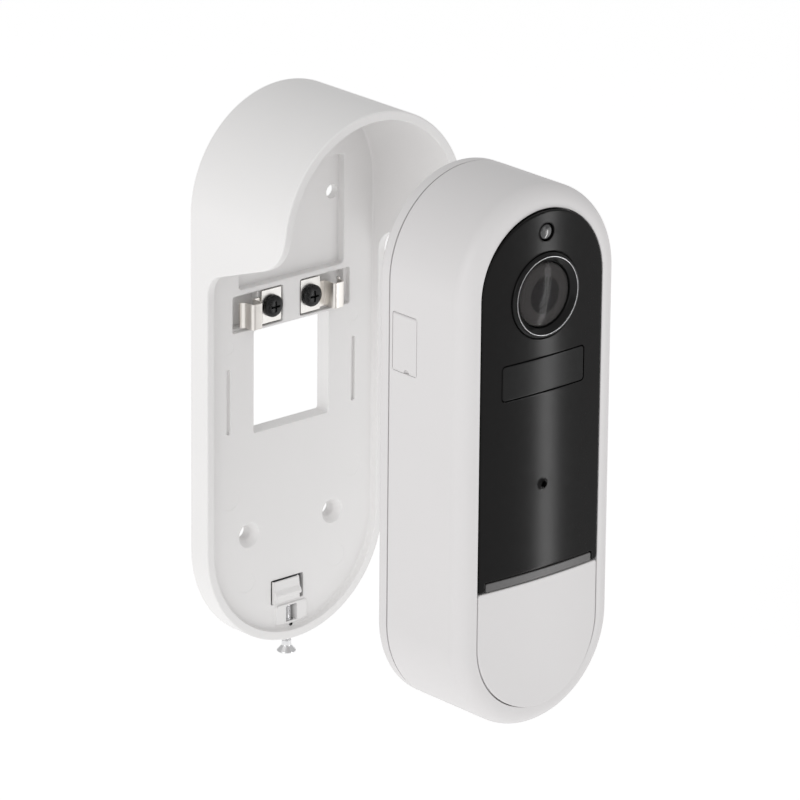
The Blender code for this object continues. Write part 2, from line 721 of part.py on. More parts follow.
def make_lens_cover_glass(unit):
    profile = [(0, -31.45), (4.0, -31.36), (7.5, -31.12), (7.95, -30.9), (7.95, -30.2), (0, -30.2)]
    return finish("lens_cover_glass", turned(profile, (0, 0, LENS_Z), 48), dark_glass(), unit)


def make_lens_baffle(unit):
    ring = [
        (7.9, -29.9),
        (7.9, -27.5),
        (3.5, -27.5),
        (3.5, -28.1),
        (4.7, -28.3),
        (4.9, -28.8),
        (6.1, -29.0),
        (6.3, -29.9),
    ]
    return finish("lens_baffle", turned(ring, (0, 0, LENS_Z), 40), black_plastic(), unit)


def make_front_lens_element(unit):
    profile = [(0, -29.4), (1.2, -29.2), (2.3, -28.7), (3.1, -27.9), (3.1, -27.3), (0, -27.3)]
    return finish("front_lens_element", turned(profile, (0, 0, LENS_Z), 32), dark_glass(), unit)


def make_lens_barrel(unit):
    profile = [(0, -27.0), (5.9, -27.0), (6.4, -26.6), (6.4, -17.4), (0, -17.4)]
    return finish("lens_barrel", turned(profile, (0, 0, LENS_Z), 32), black_plastic(), unit)


def make_camera_holder(unit):
    holder = finish(
        "camera_holder", box((-13, 13), (-28.3, -20.5), (LENS_Z - 11.8, LENS_Z + 11.8), 2.0), black_plastic(), unit
    )
    bore = [(0, -30), (8.3, -30), (8.3, -27.15), (6.8, -27.15), (6.8, -19), (0, -19)]
    return shape(holder, [turned(bore, (0, 0, LENS_Z), 32)])


def make_light_sensor(unit):
    window = [(0, -31.8), (1.5, -31.78), (2.0, -31.6), (2.0, -28.9), (0, -28.9)]
    finish("light_sensor_window", turned(window, (0, 0, LIGHT_SENSOR_Z), 24), dark_glass(), unit)
    board = finish("light_sensor_board", box((-5, 5), (-27.6, -26.8), (95.0, 101.0)), circuit_board(), unit)
    chip = box((-1.6, 1.6), (-27.2, -28.4), (LIGHT_SENSOR_Z - 1.4, LIGHT_SENSOR_Z + 1.4))
    shape(board, [chip], "UNION")


def make_motion_sensor(unit):
    outline = rounded((-13.15, 13.15), (PIR_Z - 4.35, PIR_Z + 4.35), 0.9)
    crowned("pir_window", outline, -28.9, black_plastic(), unit, lift=0.05)
    can = [(0, -27.6), (3.8, -27.6), (4.1, -27.3), (4.1, -24.0), (4.6, -24.0), (4.6, -23.5), (0, -23.5)]
    finish("pir_sensor", turned(can, (0, 0, PIR_Z), 28), steel(), unit)


def make_microphone(unit):
    boot = [(2.9, -28.5), (0.8, -28.5), (0.8, -27.4), (2.2, -27.4), (2.2, -25.6), (2.9, -25.6)]
    finish("microphone_boot", turned(boot, (0, 0, MICROPHONE_Z), 20), silicone(), unit)
    finish("microphone", disc(1.95, (-27.1, -25.8), 0, MICROPHONE_Z, 20), nickel(), unit)


# ---- Camera unit: inside ----------------------------------------------------------


def make_camera_boards(unit):
    finish("camera_board", box((-12, 12), (-17.0, -16.0), (LENS_Z - 11.2, LENS_Z + 11.2), 1.0), circuit_board(), unit)
    finish("main_board", box((-16.4, 16.4), (-12.0, -10.8), (59.5, 95.4), 1.0), circuit_board(), unit)
    finish("shield_can", box((-8, 8), (-14.4, -12.3), (76, 90), 0.6), nickel(), unit)
    finish("heat_spreader", box((-11, 14), (-10.5, -9.7), (72, 94), 0.6), aluminium(), unit)
    path = [(-15.4, 73.0), (-15.4, 68.4), (-12.6, 66.4), (-12.6, 62.0)]
    ribbon = prism(strip_outline(path, 0.3), -4.0, 4.0, axis="x")
    finish("board_flex_cable", ribbon, polyimide(), unit)


def make_button_switch(unit):
    finish("button_board", box((-14, 14), (-21.6, -20.6), (-14.0, 6.0), 1.0), circuit_board(), unit)
    z = (BUTTON_POST_Z - 3.1, BUTTON_POST_Z + 3.1)
    body = finish("button_switch", box((-3.1, 3.1), (-25.2, -21.9), z, 0.4), black_plastic(), unit)
    shape(body, [disc(1.95, (-30, -22.9), 0, BUTTON_POST_Z, 20)])
    plunger = disc(1.7, (-26.2, -23.9), 0, BUTTON_POST_Z, 20)
    finish("switch_plunger", plunger, black_plastic(), unit, (0, -26.2, BUTTON_POST_Z))


def make_speaker(unit):
    centre = (0, -14, 0)
    profile = [(0, -17.4), (6.5, -17.4), (6.5, -19.8), (9.0, -20.4), (9.0, -23.4), (7.6, -23.4), (6.8, -22.8), (0, -22.4)]
    finish("speaker", turned(profile, centre, 32, axis="z"), black_plastic(), unit)
    ring = [(9.0, -23.65), (9.0, -24.3), (7.5, -24.3), (7.5, -23.65)]
    finish("speaker_gasket", turned(ring, centre, 32, axis="z"), silicone(), unit)


def make_power_and_radio(unit):
    finish("battery_pack", box((-18, 18), (-2.6, -13.6), (16, 49.2), 1.5), battery_wrap(), unit)
    finish("wifi_antenna", box((21.3, 21.9), (-12, -22), (30, 60)), polyimide(), unit)
    for name, side in (("rear_contact_left", -1), ("rear_contact_right", 1)):
        x = (side * CONTACT_X - 3.0, side * CONTACT_X + 3.0)
        pad = box(x, (-2.35, -3.9), (TERMINAL_Z - 4.3, TERMINAL_Z + 2.8), 0.3)
        finish(name, pad, nickel(), unit)


def make_service_port(unit):
    outline = rounded((-10.4, -7.2), (66.2, 75.2), 1.2)
    socket = finish("charging_socket", prism(outline, -22.0, -14.6, axis="x"), steel(), unit)
    mouth = prism(rounded((-10.05, -7.55), (66.55, 74.85), 0.9), -24, -16.0, axis="x")
    shape(socket, [mouth])
    pin = turned([(0, -23.1), (1.0, -23.1), (1.0, -20.2), (0, -20.2)], (0, -8.8, 64.4), 20, axis="x")
    finish("reset_button", pin, black_plastic(), unit, (-23.1, -8.8, 64.4))


# ---- Assembly ---------------------------------------------------------------------


def make_bracket():
    make_bracket_shell()
    for word, side in (("left", -1), ("right", 1)):
        make_terminal_insert(f"terminal_insert_{word}", side)
        make_contact_strip(f"contact_strip_{word}", side)
        make_terminal_clamp(f"terminal_clamp_{word}", side)
        make_terminal_screw(f"terminal_screw_{word}", side)
    make_latch_tongue()
    make_screw_guide()
    make_captive_ring()
    make_retaining_screw()


def make_unit():
    unit = empty("camera_unit_frame", (0, UNIT_REST_Y, 0))
    make_front_housing(unit)
    make_rear_cover(unit)
    make_housing_seal(unit)
    for number, place in enumerate(boss_places(), 1):
        make_cover_screw(f"cover_screw_{number}", place, unit)
    make_front_panel(unit)
    make_light_bar(unit)
    make_light_bar_board(unit)
    make_call_button(unit)
    make_side_flap(unit)
    make_lens_ring(unit)
    make_lens_cover_glass(unit)
    make_lens_baffle(unit)
    make_front_lens_element(unit)
    make_lens_barrel(unit)
    make_camera_holder(unit)
    make_light_sensor(unit)
    make_motion_sensor(unit)
    make_microphone(unit)
    make_camera_boards(unit)
    make_button_switch(unit)
    make_speaker(unit)
    make_power_and_radio(unit)
    make_service_port(unit)


clear_scene()
make_bracket()
make_unit()
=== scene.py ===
import math

import bmesh
import bpy
import numpy as np
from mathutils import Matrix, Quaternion, Vector
from mathutils.geometry import delaunay_2d_cdt


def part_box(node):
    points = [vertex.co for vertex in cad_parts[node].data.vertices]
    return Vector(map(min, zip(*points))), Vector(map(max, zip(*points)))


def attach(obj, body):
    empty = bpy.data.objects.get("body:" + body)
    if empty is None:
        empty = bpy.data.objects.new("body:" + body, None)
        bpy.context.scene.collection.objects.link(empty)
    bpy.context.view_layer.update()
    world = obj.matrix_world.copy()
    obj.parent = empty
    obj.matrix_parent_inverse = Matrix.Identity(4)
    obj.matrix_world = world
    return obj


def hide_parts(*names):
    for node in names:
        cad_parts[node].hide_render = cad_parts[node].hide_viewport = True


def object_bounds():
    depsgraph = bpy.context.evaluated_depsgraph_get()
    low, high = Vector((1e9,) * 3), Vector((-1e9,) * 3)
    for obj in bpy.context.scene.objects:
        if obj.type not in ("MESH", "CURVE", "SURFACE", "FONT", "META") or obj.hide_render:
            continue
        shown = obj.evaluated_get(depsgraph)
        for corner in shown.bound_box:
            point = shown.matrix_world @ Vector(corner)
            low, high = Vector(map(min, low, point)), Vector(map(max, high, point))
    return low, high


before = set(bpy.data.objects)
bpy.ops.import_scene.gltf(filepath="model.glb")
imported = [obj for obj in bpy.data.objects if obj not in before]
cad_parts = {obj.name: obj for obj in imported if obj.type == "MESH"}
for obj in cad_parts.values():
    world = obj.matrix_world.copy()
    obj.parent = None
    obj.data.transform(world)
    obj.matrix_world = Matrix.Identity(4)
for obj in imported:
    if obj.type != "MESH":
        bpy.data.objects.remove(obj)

cad_box = [list(corner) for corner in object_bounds()]

# ---- Camera ------------------------------------------------------------------------
# The doorbell is seen from its front left and a little above, from far enough away
# that its upright edges stay nearly parallel. It looks at the middle of the whole.

low, high = (Vector(corner) for corner in cad_box)
azimuth, elevation = math.radians(41.5), math.radians(19.5)
sight = Vector((math.sin(azimuth) * math.cos(elevation), math.cos(azimuth) * math.cos(elevation),
                -math.sin(elevation)))
aim = (low + high) / 2 + Vector((-0.0009, 0.0028, 0.00435))
camera = bpy.data.objects.new("camera", bpy.data.cameras.new("camera"))
camera.data.lens = 297.1
camera.data.sensor_width = 36.0
camera.data.clip_start = 0.1
camera.data.clip_end = 20.0
camera.location = aim - sight * 1.628
camera.rotation_mode = "QUATERNION"
camera.rotation_quaternion = sight.to_track_quat("-Z", "Y") @ Quaternion((0, 0, 1), math.radians(0.55))
bpy.context.scene.collection.objects.link(camera)
bpy.context.scene.camera = camera

# ---- Bracket shell -----------------------------------------------------------------
# The wall bracket is one moulding in white ABS: a long shallow tray whose side walls
# sweep forward in an S to make the rain hood. Its edges are radiused in the mould.


class Term:
    """A value in a material's nodes that can be added, multiplied and so on like a number."""

    def __init__(self, paint, socket):
        self.paint = paint
        self.socket = socket

    def math(self, operation, *others):
        return self.paint.node("ShaderNodeMath", {"operation": operation}, [self, *others])

    def __add__(self, other):
        return self.math("ADD", other)

    def __sub__(self, other):
        return self.math("SUBTRACT", other)

    def __mul__(self, other):
        return self.math("MULTIPLY", other)

    def __rsub__(self, other):
        return self.paint.node("ShaderNodeMath", {"operation": "SUBTRACT"}, [other, self])

    def __truediv__(self, other):
        return self.math("DIVIDE", other)

    __radd__ = __add__
    __rmul__ = __mul__


class Paint:
    """One material: its nodes are made by node(), and wear() joins them to the surface."""

    def __init__(self, name, **constants):
        self.material = bpy.data.materials.new(name)
        self.material.use_nodes = True
        self.tree = self.material.node_tree
        self.surface = self.tree.nodes["Principled BSDF"]
        for socket, value in constants.items():
            self.wear(socket.replace("_", " ").title().replace("Ior", "IOR"), value)

    def node(self, kind, settings=None, values=(), output=0):
        made = self.tree.nodes.new(kind)
        settings = dict(settings or {})
        stops = settings.pop("stops", None)
        for name, value in settings.items():
            setattr(made, name, value)
        if stops:
            ramp = made.color_ramp.elements
            for _ in stops[2:]:
                ramp.new(0.5)
            for element, (place, colour) in zip(ramp, stops):
                element.position = place
                element.color = (*colour, 1) if len(colour) == 3 else colour
        pairs = values.items() if isinstance(values, dict) else enumerate(values)
        for name, value in pairs:
            self.join(made.inputs[name], value)
        return Term(self, made.outputs[output])

    def join(self, socket, value):
        if isinstance(value, Term):
            self.tree.links.new(value.socket, socket)
        elif isinstance(value, (tuple, list)) and socket.type == "RGBA":
            socket.default_value = (*value[:3], 1.0)
        else:
            socket.default_value = value

    def wear(self, name, value):
        self.join(self.surface.inputs[name], value)
        return self

    def place(self):
        """Where a point is on the piece, in millimetres."""
        where = self.node("ShaderNodeTexCoord", output="Object")
        return self.node("ShaderNodeVectorMath", {"operation": "SCALE"}, {0: where, "Scale": 1000.0})

    def noise(self, where, size, detail=2.0, roughness=0.5):
        """Cloudy noise from 0 to 1 whose lumps are about so many millimetres across."""
        return self.node(
            "ShaderNodeTexNoise",
            {"noise_dimensions": "3D"},
            {"Vector": where, "Scale": 1.0 / size, "Detail": detail, "Roughness": roughness},
        )

    def mix(self, share, first, second):
        return self.node(
            "ShaderNodeMix",
            {"data_type": "RGBA", "blend_type": "MIX"},
            {0: share, 6: first, 7: second},
            output=2,
        )

    def bump(self, height, strength, depth):
        """A bump from a height that runs from 0 to 1 over so many millimetres."""
        return self.node(
            "ShaderNodeBump",
            {},
            {"Height": height, "Strength": strength, "Distance": depth * 0.001},
        )


def moulded(name, colour, darker, roughness, grain=0.16, depth=0.004):
    """Plastic from a spark-eroded mould: a fine even grain, and a slow drift in tone and sheen."""
    paint = Paint(name, specular_ior_level=0.42)
    where = paint.place()
    drift = paint.noise(where, 24.0, 3.0)
    fine = paint.noise(where, grain, 2.0, 0.6)
    paint.wear("Base Color", paint.mix(drift * 0.6 + fine * 0.25, colour, darker))
    paint.wear("Roughness", roughness - 0.05 + fine * 0.06 + drift * 0.06)
    paint.wear("Normal", paint.bump(fine, 0.35, depth))
    return paint.material


def rounded(x, z, corner, steps=6):
    """A rectangle's outline with quarter circles at its corners, anticlockwise, as an array."""
    turn = np.linspace(0, math.pi / 2, steps + 1)
    corners = [(x[1] - corner, z[1] - corner, 0), (x[0] + corner, z[1] - corner, 1),
               (x[0] + corner, z[0] + corner, 2), (x[1] - corner, z[0] + corner, 3)]
    arcs = [
        np.stack([cx + corner * np.cos(turn + q * math.pi / 2),
                  cz + corner * np.sin(turn + q * math.pi / 2)], 1)
        for cx, cz, q in corners
    ]
    return np.concatenate(arcs)


def circle(x, z, radius, steps=48):
    """Points evenly round a circle: the centre plus the radius times the cosine and sine."""
    turn = np.linspace(0, 2 * math.pi, steps, endpoint=False)
    return np.stack([x + radius * np.cos(turn), z + radius * np.sin(turn)], 1)


def away(outline):
    """Unit vectors that point out of a closed outline, square to the mean of its two sides."""
    ahead = np.roll(outline, -1, 0) - outline
    ahead /= np.linalg.norm(ahead, axis=1, keepdims=True)
    along = ahead + np.roll(ahead, 1, 0)
    along /= np.linalg.norm(along, axis=1, keepdims=True)
    half = np.clip(np.sum(along * ahead, axis=1, keepdims=True), 0.3, 1)
    return np.stack([along[:, 1], -along[:, 0]], 1) / half


def softened(points, radius, closed=False, steps=5):
    """A chain of points whose corners are each replaced by a parabola that starts and ends
    a radius away, or half a side where that is shorter. The end points of an open chain stay."""
    points = np.asarray(points, float)
    count = len(points)
    radii = np.broadcast_to(radius, count)
    share = np.linspace(0, 1, steps + 1)[:, None]
    made = []
    for i in range(count):
        if not closed and i in (0, count - 1) or radii[i] == 0:
            made.append(points[i : i + 1])
            continue
        here, before, after = points[i], points[i - 1], points[(i + 1) % count]
        back, on = before - here, after - here
        start = here + back * min(radii[i] / np.linalg.norm(back), 0.48)
        end = here + on * min(radii[i] / np.linalg.norm(on), 0.48)
        made.append((1 - share) ** 2 * start + 2 * share * (1 - share) * here + share**2 * end)
    return np.concatenate(made)


def inside(points, outline):
    """Which points lie inside a closed outline: those with an odd number of its sides to their right."""
    here, there = outline[None], np.roll(outline, -1, 0)[None]
    x, z = points[:, None, 0], points[:, None, 1]
    spans = (here[..., 1] > z) != (there[..., 1] > z)
    rise = np.where(there[..., 1] == here[..., 1], 1, there[..., 1] - here[..., 1])
    crossing = here[..., 0] + (z - here[..., 1]) / rise * (there[..., 0] - here[..., 0])
    return (spans & (x < crossing)).sum(1) % 2 == 1


class Skin:
    """A piece's surface, gathered as grids and filled outlines in millimetres, then welded."""

    def __init__(self):
        self.points = []
        self.faces = []
        self.count = 0

    def add(self, points, faces):
        self.points.append(np.asarray(points, float).reshape(-1, 3))
        self.faces.extend((np.asarray(faces) + self.count).tolist())
        self.count += len(self.points[-1])
        return self

    def grid(self, rows, wrap=True, join=False):
        """Four-sided faces between rows of points: wrap closes each row, join the last row to the first."""
        rows = np.asarray(rows, float)
        tall, wide = rows.shape[:2]
        number = np.arange(tall * wide).reshape(tall, wide)
        if wrap:
            number = np.concatenate([number, number[:, :1]], 1)
        if join:
            number = np.concatenate([number, number[:1]], 0)
        corners = (number[:-1, :-1], number[:-1, 1:], number[1:, 1:], number[1:, :-1])
        return self.add(rows, np.stack([corner.ravel() for corner in corners], 1))

    def fill(self, outlines, height, inner=None):
        """Triangles between closed flat outlines, the first of which holds the others as holes.
        The height is a number, or a function of the two flat coordinates."""
        loops = [np.asarray(outline) for outline in outlines]
        ends = np.cumsum([0] + [len(loop) for loop in loops])
        edges = []
        for start, end in zip(ends, ends[1:]):
            number = np.arange(start, end)
            edges.append(np.stack([number, np.roll(number, -1)], 1))
        flat = np.concatenate(loops + ([] if inner is None else [inner]))
        flat_mesh = delaunay_2d_cdt(flat.tolist(), np.concatenate(edges).tolist(), [], 1, 1e-6)
        corner = np.array([tuple(point) for point in flat_mesh[0]])
        triangle = np.array(flat_mesh[2])
        middle = corner[triangle].mean(1)
        kept = ~np.any([inside(middle, loop) for loop in loops[1:]] + [np.zeros(len(middle), bool)], axis=0)
        depth = height(corner[:, 0], corner[:, 1]) if callable(height) else np.full(len(corner), height)
        return self.add(np.stack([corner[:, 0], depth, corner[:, 1]], 1), triangle[kept])

    def walls(self, outline, profile, surface=None):
        """An outline carried along a profile of (outward offset, depth) pairs.
        A depth counts from the surface, a function of the flat coordinates, where one is given."""
        outline = np.asarray(outline)
        out = away(outline)
        rows = []
        for entry in profile:
            ring = outline + out * entry[0]
            base = surface(ring[:, 0], ring[:, 1]) if surface and len(entry) == 2 else 0
            rows.append(np.stack([ring[:, 0], base + np.full(len(ring), entry[1]), ring[:, 1]], 1))
        return self.grid(rows)


def rolled(radius, start, inward=False, steps=5, down=1):
    """(offset, depth) pairs of a quarter circle from a flat face, at depth start, over an edge:
    outwards and down for an outer edge, or inwards and down for a hole's mouth."""
    turn = np.linspace(0, math.pi / 2, steps + 1)
    offset = radius * (1 - np.sin(turn)) if inward else radius * (np.sin(turn) - 1)
    return list(zip(offset, start + down * radius * (1 - np.cos(turn))))


def made(name, skin, finish, body, *nodes, sharp=38, slot=None, turn=None):
    """One closed object from a skin, in metres and smooth-shaded, riding on its body."""
    points = np.concatenate(skin.points)
    if turn is not None:
        points = points[:, turn]
    mesh = bpy.data.meshes.new(name)
    mesh.from_pydata((points * 0.001).tolist(), [], skin.faces)
    work = bmesh.new()
    work.from_mesh(mesh)
    bmesh.ops.remove_doubles(work, verts=work.verts, dist=2e-6)
    bmesh.ops.recalc_face_normals(work, faces=work.faces)
    work.to_mesh(mesh)
    work.free()
    mesh.materials.append(finish)
    mesh.shade_smooth()
    mesh.set_sharp_from_angle(angle=math.radians(sharp))
    thing = bpy.data.objects.new(name, mesh)
    bpy.context.scene.collection.objects.link(thing)
    if body:
        even = thing.modifiers.new("even_normals", "WEIGHTED_NORMAL")
        even.keep_sharp = True
        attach(thing, body)
        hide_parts(*nodes)
    return thing


def carve(thing, *skins):
    """Cuts closed skins out of a piece and leaves the result as its mesh."""
    for number, skin in enumerate(skins):
        cutter = made(f"cutter_{number}", skin, None, None)
        cut = thing.modifiers.new("cut", "BOOLEAN")
        cut.operation = "DIFFERENCE"
        cut.solver = "EXACT"
        cut.object = cutter
        thing.modifiers.move(len(thing.modifiers) - 1, 0)
        bpy.context.view_layer.update()
        graph = bpy.context.evaluated_depsgraph_get()
        even = thing.modifiers.get("even_normals")
        if even:
            even.show_viewport = False
        bpy.context.view_layer.update()
        result = bpy.data.meshes.new_from_object(thing.evaluated_get(bpy.context.evaluated_depsgraph_get()))
        if even:
            even.show_viewport = True
        thing.modifiers.remove(cut)
        old = thing.data
        thing.data = result
        bpy.data.meshes.remove(old)
        result.name = thing.name
        bpy.data.objects.remove(cutter)
    thing.data.shade_smooth()
    thing.data.set_sharp_from_angle(angle=math.radians(38))
    return thing


def lathe(profile, centre, axis="y", steps=64, skin=None):
    """(radius, along) pairs turned about an axis through a centre: each point's place is the
    centre plus the radius times the cosine and sine of the turn, and its height along the axis."""
    profile = np.asarray(profile, float)
    turn = np.linspace(0, 2 * math.pi, steps, endpoint=False)
    radius, along = profile[:, :1], profile[:, 1:]
    one, two = radius * np.cos(turn), radius * np.sin(turn)
    high = np.broadcast_to(along, one.shape)
    order = {"y": (one, high, two), "z": (one, two, high), "x": (high, one, two)}[axis]
    skin = skin or Skin()
    closed = profile[0, 0] > 0
    return skin.grid(np.stack(order, 2) + np.asarray(centre, float), join=closed)


shell_low, shell_high = (np.array(corner) * 1000 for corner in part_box("bracket_shell"))
OUTER = shell_high[0]
TOP_Z = shell_high[2] - OUTER
LOW_Z = shell_low[2] + OUTER
HOOD_Y = shell_low[1]
WALL = 2.4
TRAY_Y = -6.5
FLOOR_Y = -4.4
RECESS_Y = -2.2
TERMINAL_Z = 56.8
SCREW_Y = -2.8


def perimeter(side_heights, steps=88):
    """The stadium's stations, anticlockwise from its lower left: the skeleton point that each one
    stands off from, and the outward direction. The right side's heights serve the left in reverse."""
    low_turn = np.linspace(math.pi, 2 * math.pi, steps + 1)
    high_turn = np.linspace(0, math.pi, steps + 1)
    heights = np.concatenate([
        np.full(steps + 1, LOW_Z), side_heights, np.full(steps + 1, TOP_Z), side_heights[::-1],
    ])
    flat = np.zeros(len(side_heights))
    turn = np.concatenate([low_turn, flat, high_turn, flat + math.pi])
    return heights, np.stack([np.cos(turn), np.sin(turn)], 1)


def stadium(radius, side_heights=None, steps=88):
    """A stadium's outline of one radius."""
    side_heights = np.linspace(LOW_Z, TOP_Z, 26)[1:-1] if side_heights is None else side_heights
    heights, out = perimeter(side_heights, steps)
    return np.stack([out[:, 0] * radius, heights + out[:, 1] * radius], 1)


def front_edge():
    """The side wall's front edge as (y, z) stations: up the tray, a concave arc of 6.5 mm radius,
    a run forward that climbs at 19 degrees, and a convex arc of 12 mm radius up the hood."""
    low_arc = np.radians(np.linspace(0, 71, 14))
    high_arc = np.radians(np.linspace(251, 180, 30))
    low_part = np.stack([TRAY_Y - 6.5 + 6.5 * np.cos(low_arc), 64.5 + 6.5 * np.sin(low_arc)], 1)
    high_part = np.stack([HOOD_Y + 12 + 12 * np.cos(high_arc), 87.85 + 12 * np.sin(high_arc)], 1)
    run = np.linspace(low_part[-1], high_part[0], 9)[1:-1]
    tray = np.stack([np.full(30, TRAY_Y), np.linspace(LOW_Z, 64.5, 31)[1:]], 1)[:-1]
    return np.concatenate([tray, low_part, run, high_part])


sweep = front_edge()
edge_line = sweep[sweep[:, 1] < TOP_Z - 0.2]
heights, out = perimeter(edge_line[:, 1])
steps = 88
over_top = TOP_Z + OUTER * np.sin(np.linspace(0, math.pi, steps + 1))
depths = np.concatenate([
    np.full(steps + 1, TRAY_Y), edge_line[:, 0], np.interp(over_top, sweep[:, 1], sweep[:, 0]),
    edge_line[::-1, 0],
])


def wall_row(inset, depth):
    """The perimeter moved in by an inset, at one depth or at a depth for each station."""
    radius = OUTER - inset
    return np.stack([out[:, 0] * radius, np.broadcast_to(depth, heights.shape),
                     heights + out[:, 1] * radius], 1)


path = wall_row(0, depths)
run_on = np.roll(path, -1, 0) - path
run_on /= np.maximum(np.linalg.norm(run_on, axis=1, keepdims=True), 1e-9)
run_on = run_on + np.roll(run_on, 1, 0)
run_on /= np.linalg.norm(run_on, axis=1, keepdims=True)
inward = np.stack([-out[:, 0], np.zeros(len(out)), -out[:, 1]], 1)
proud = np.cross(run_on, inward)
proud /= np.linalg.norm(proud, axis=1, keepdims=True)
proud *= -np.sign(proud[0, 1])


def rim_row(inset, sunk):
    """The front edge moved in by an inset and down, square to the edge's own slope."""
    return wall_row(inset, depths) - proud * sunk


quarter = np.linspace(0, math.pi / 2, 7)
OUTER_EDGE, INNER_EDGE, FLOOR_FILLET = 0.5, 0.28, 0.7
rows = [wall_row(0.3 * (1 - math.sin(a)), -0.3 * (1 - math.cos(a))) for a in quarter[::2]]
rows += [rim_row(OUTER_EDGE * (1 - math.cos(a)), OUTER_EDGE * (1 - math.sin(a))) for a in quarter]
rows += [rim_row(WALL * 0.5, 0)]
rows += [rim_row(WALL - INNER_EDGE * (1 - math.sin(a)), INNER_EDGE * (1 - math.cos(a))) for a in quarter]
rows += [
    wall_row(WALL + FLOOR_FILLET * (1 - math.cos(a)), FLOOR_Y - FLOOR_FILLET * (1 - math.sin(a)))
    for a in quarter
]
shell = Skin().grid(rows)
floor_edge = rows[-1][:, [0, 2]]
back_edge = rows[0][:, [0, 2]]


def sink(skin, outline, start, end, roll=0.2, fillet=0.0, surface=None):
    """A pocket's wall, from a rolled mouth at one depth to another. Gives the mouth's outline,
    which is a hole in the face around it, and the outline of the pocket's own floor."""
    down = math.copysign(1, end - start)
    profile = rolled(roll, start, inward=True, down=down)
    if fillet:
        profile += [(-fillet * (1 - math.cos(a)), end - down * fillet * (1 - math.sin(a)))
                    for a in quarter[::2]]
    elif surface:
        profile += [(0, end, "flat")]
    else:
        profile += [(0, end)]
    skin.walls(outline, profile, surface)
    out = away(outline)
    return outline + out * roll, outline + out * profile[-1][0]


floor_holes = []
back_holes = []
# the opening for the house's cable goes right through
mouth, foot = sink(shell, rounded((-12.3, 12.3), (24.3, 51.3), 0.6), FLOOR_Y, 0, 0.25)
floor_holes.append(mouth)
back_holes.append(foot)
# the recessed upper floor, with a plain fixing hole at each side
mouth, foot = sink(shell, rounded((-17.2, 17.2), (63.0, 92.0), 1.2), FLOOR_Y, RECESS_Y, 0.3, 0.15)
floor_holes.append(mouth)
recess_holes = []
for side in (-1, 1):
    hole, foot_hole = sink(shell, circle(side * 15.0, 81.8, 1.8), RECESS_Y, 0, 0.1)
    recess_holes.append(hole)
    back_holes.append(foot_hole)
shell.fill([foot, *recess_holes], RECESS_Y)
for side in (-1, 1):
    # countersunk lower fixing hole
    bore = circle(side * 13.8, -2.7, 1.8)
    profile = [(1.68, FLOOR_Y), (1.54, FLOOR_Y + 0.03), (1.4, FLOOR_Y + 0.12), (1.27, FLOOR_Y + 0.3),
               (0.3, FLOOR_Y + 1.5),
               (0.16, FLOOR_Y + 1.62), (0.05, FLOOR_Y + 1.8), (0, FLOOR_Y + 2.0), (0, 0)]
    shell.walls(bore, profile)
    floor_holes.append(bore + away(bore) * 1.68)
    back_holes.append(bore)
    # long shallow groove
    mouth, foot = sink(shell, rounded(sorted((side * 20.0, side * 21.2)), (25.6, 42.8), 0.5), FLOOR_Y,
                       FLOOR_Y + 0.9, 0.15, 0.15)
    floor_holes.append(mouth)
    shell.fill([foot], FLOOR_Y + 0.9)
    # terminal pocket, with a deeper bay for the spring and a hole for the brass insert
    pocket = rounded(sorted((side * 2.8, side * 19.2)), (52.0, 61.6), 0.6)
    mouth, foot = sink(shell, pocket, FLOOR_Y, -3.0, 0.25, 0.15)
    floor_holes.append(mouth)
    bay, bay_foot = sink(shell, rounded(sorted((side * 10.2, side * 18.3)), (52.6, 61.0), 0.4), -3.0,
                         -0.9, 0.12, 0.12)
    insert, insert_foot = sink(shell, circle(side * 6.4, TERMINAL_Z, 2.3), -3.0, -0.6, 0.03)
    shell.fill([foot, bay, insert], -3.0)
    shell.fill([bay_foot], -0.9)
    shell.fill([insert_foot], -0.6)
# the latch's pocket goes right through, and holds the black guide
mouth, foot = sink(shell, rounded((-6.5, 4.2), (-23.6, -17.1), 0.35), FLOOR_Y, 0, 0.15)
floor_holes.append(mouth)
back_holes.append(foot)
# raised pad in front of the screw, with a window on its thread
pad_foot = [(x, LOW_Z - math.sqrt(25.8 ** 2 - x ** 2)) for x in np.linspace(-5.2, 5.2, 9)]
pad = softened([*pad_foot, (5.2, -24.2), (-5.2, -24.2)], [0.3] + [0] * 7 + [0.3, 1.2, 1.2], closed=True,
               steps=8)
pad_top = -4.9
rise = [(0.35 - 0.35 * math.sin(a), FLOOR_Y - 0.35 * (1 - math.cos(a)) * 0.6) for a in quarter[::2]]
rise += [(-0.3 * (1 - math.cos(a)), pad_top + 0.29 * (1 - math.sin(a))) for a in quarter[::2]]
shell.walls(pad, rise)
floor_holes.append(pad + away(pad) * 0.35)
thread_window = softened([(1.85, -29.1), (1.85, -24.75), (-1.85, -24.75), (-1.85, -29.1)],
                         [0.2, 0.7, 0.7, 0.2], closed=True, steps=6)
mouth, foot = sink(shell, thread_window, pad_top, -0.7, 0.15)
shell.fill([pad - away(pad) * 0.3, mouth], pad_top)
shell.fill([foot], -0.7)
# faint witness rings of the mould's ejector pins
for x, z, radius in ((-20.2, 8.4, 3.0), (20.2, 8.4, 3.0), (-14.8, -15.0, 3.0), (14.8, -15.0, 3.0),
                     (-20.5, 48.6, 1.6), (20.5, 48.6, 1.6)):
    mouth, foot = sink(shell, circle(x, z, radius), FLOOR_Y, FLOOR_Y + 0.05, 0.04)
    floor_holes.append(mouth)
    shell.fill([foot], FLOOR_Y + 0.05)
shell.fill([floor_edge, *floor_holes], FLOOR_Y)
shell.fill([back_edge, *back_holes], 0)
bracket_white = moulded("bracket_white", (0.86, 0.85, 0.845), (0.83, 0.82, 0.815), 0.44)
bracket = made("bracket_shell_skin", shell, bracket_white, "bracket", "bracket_shell")
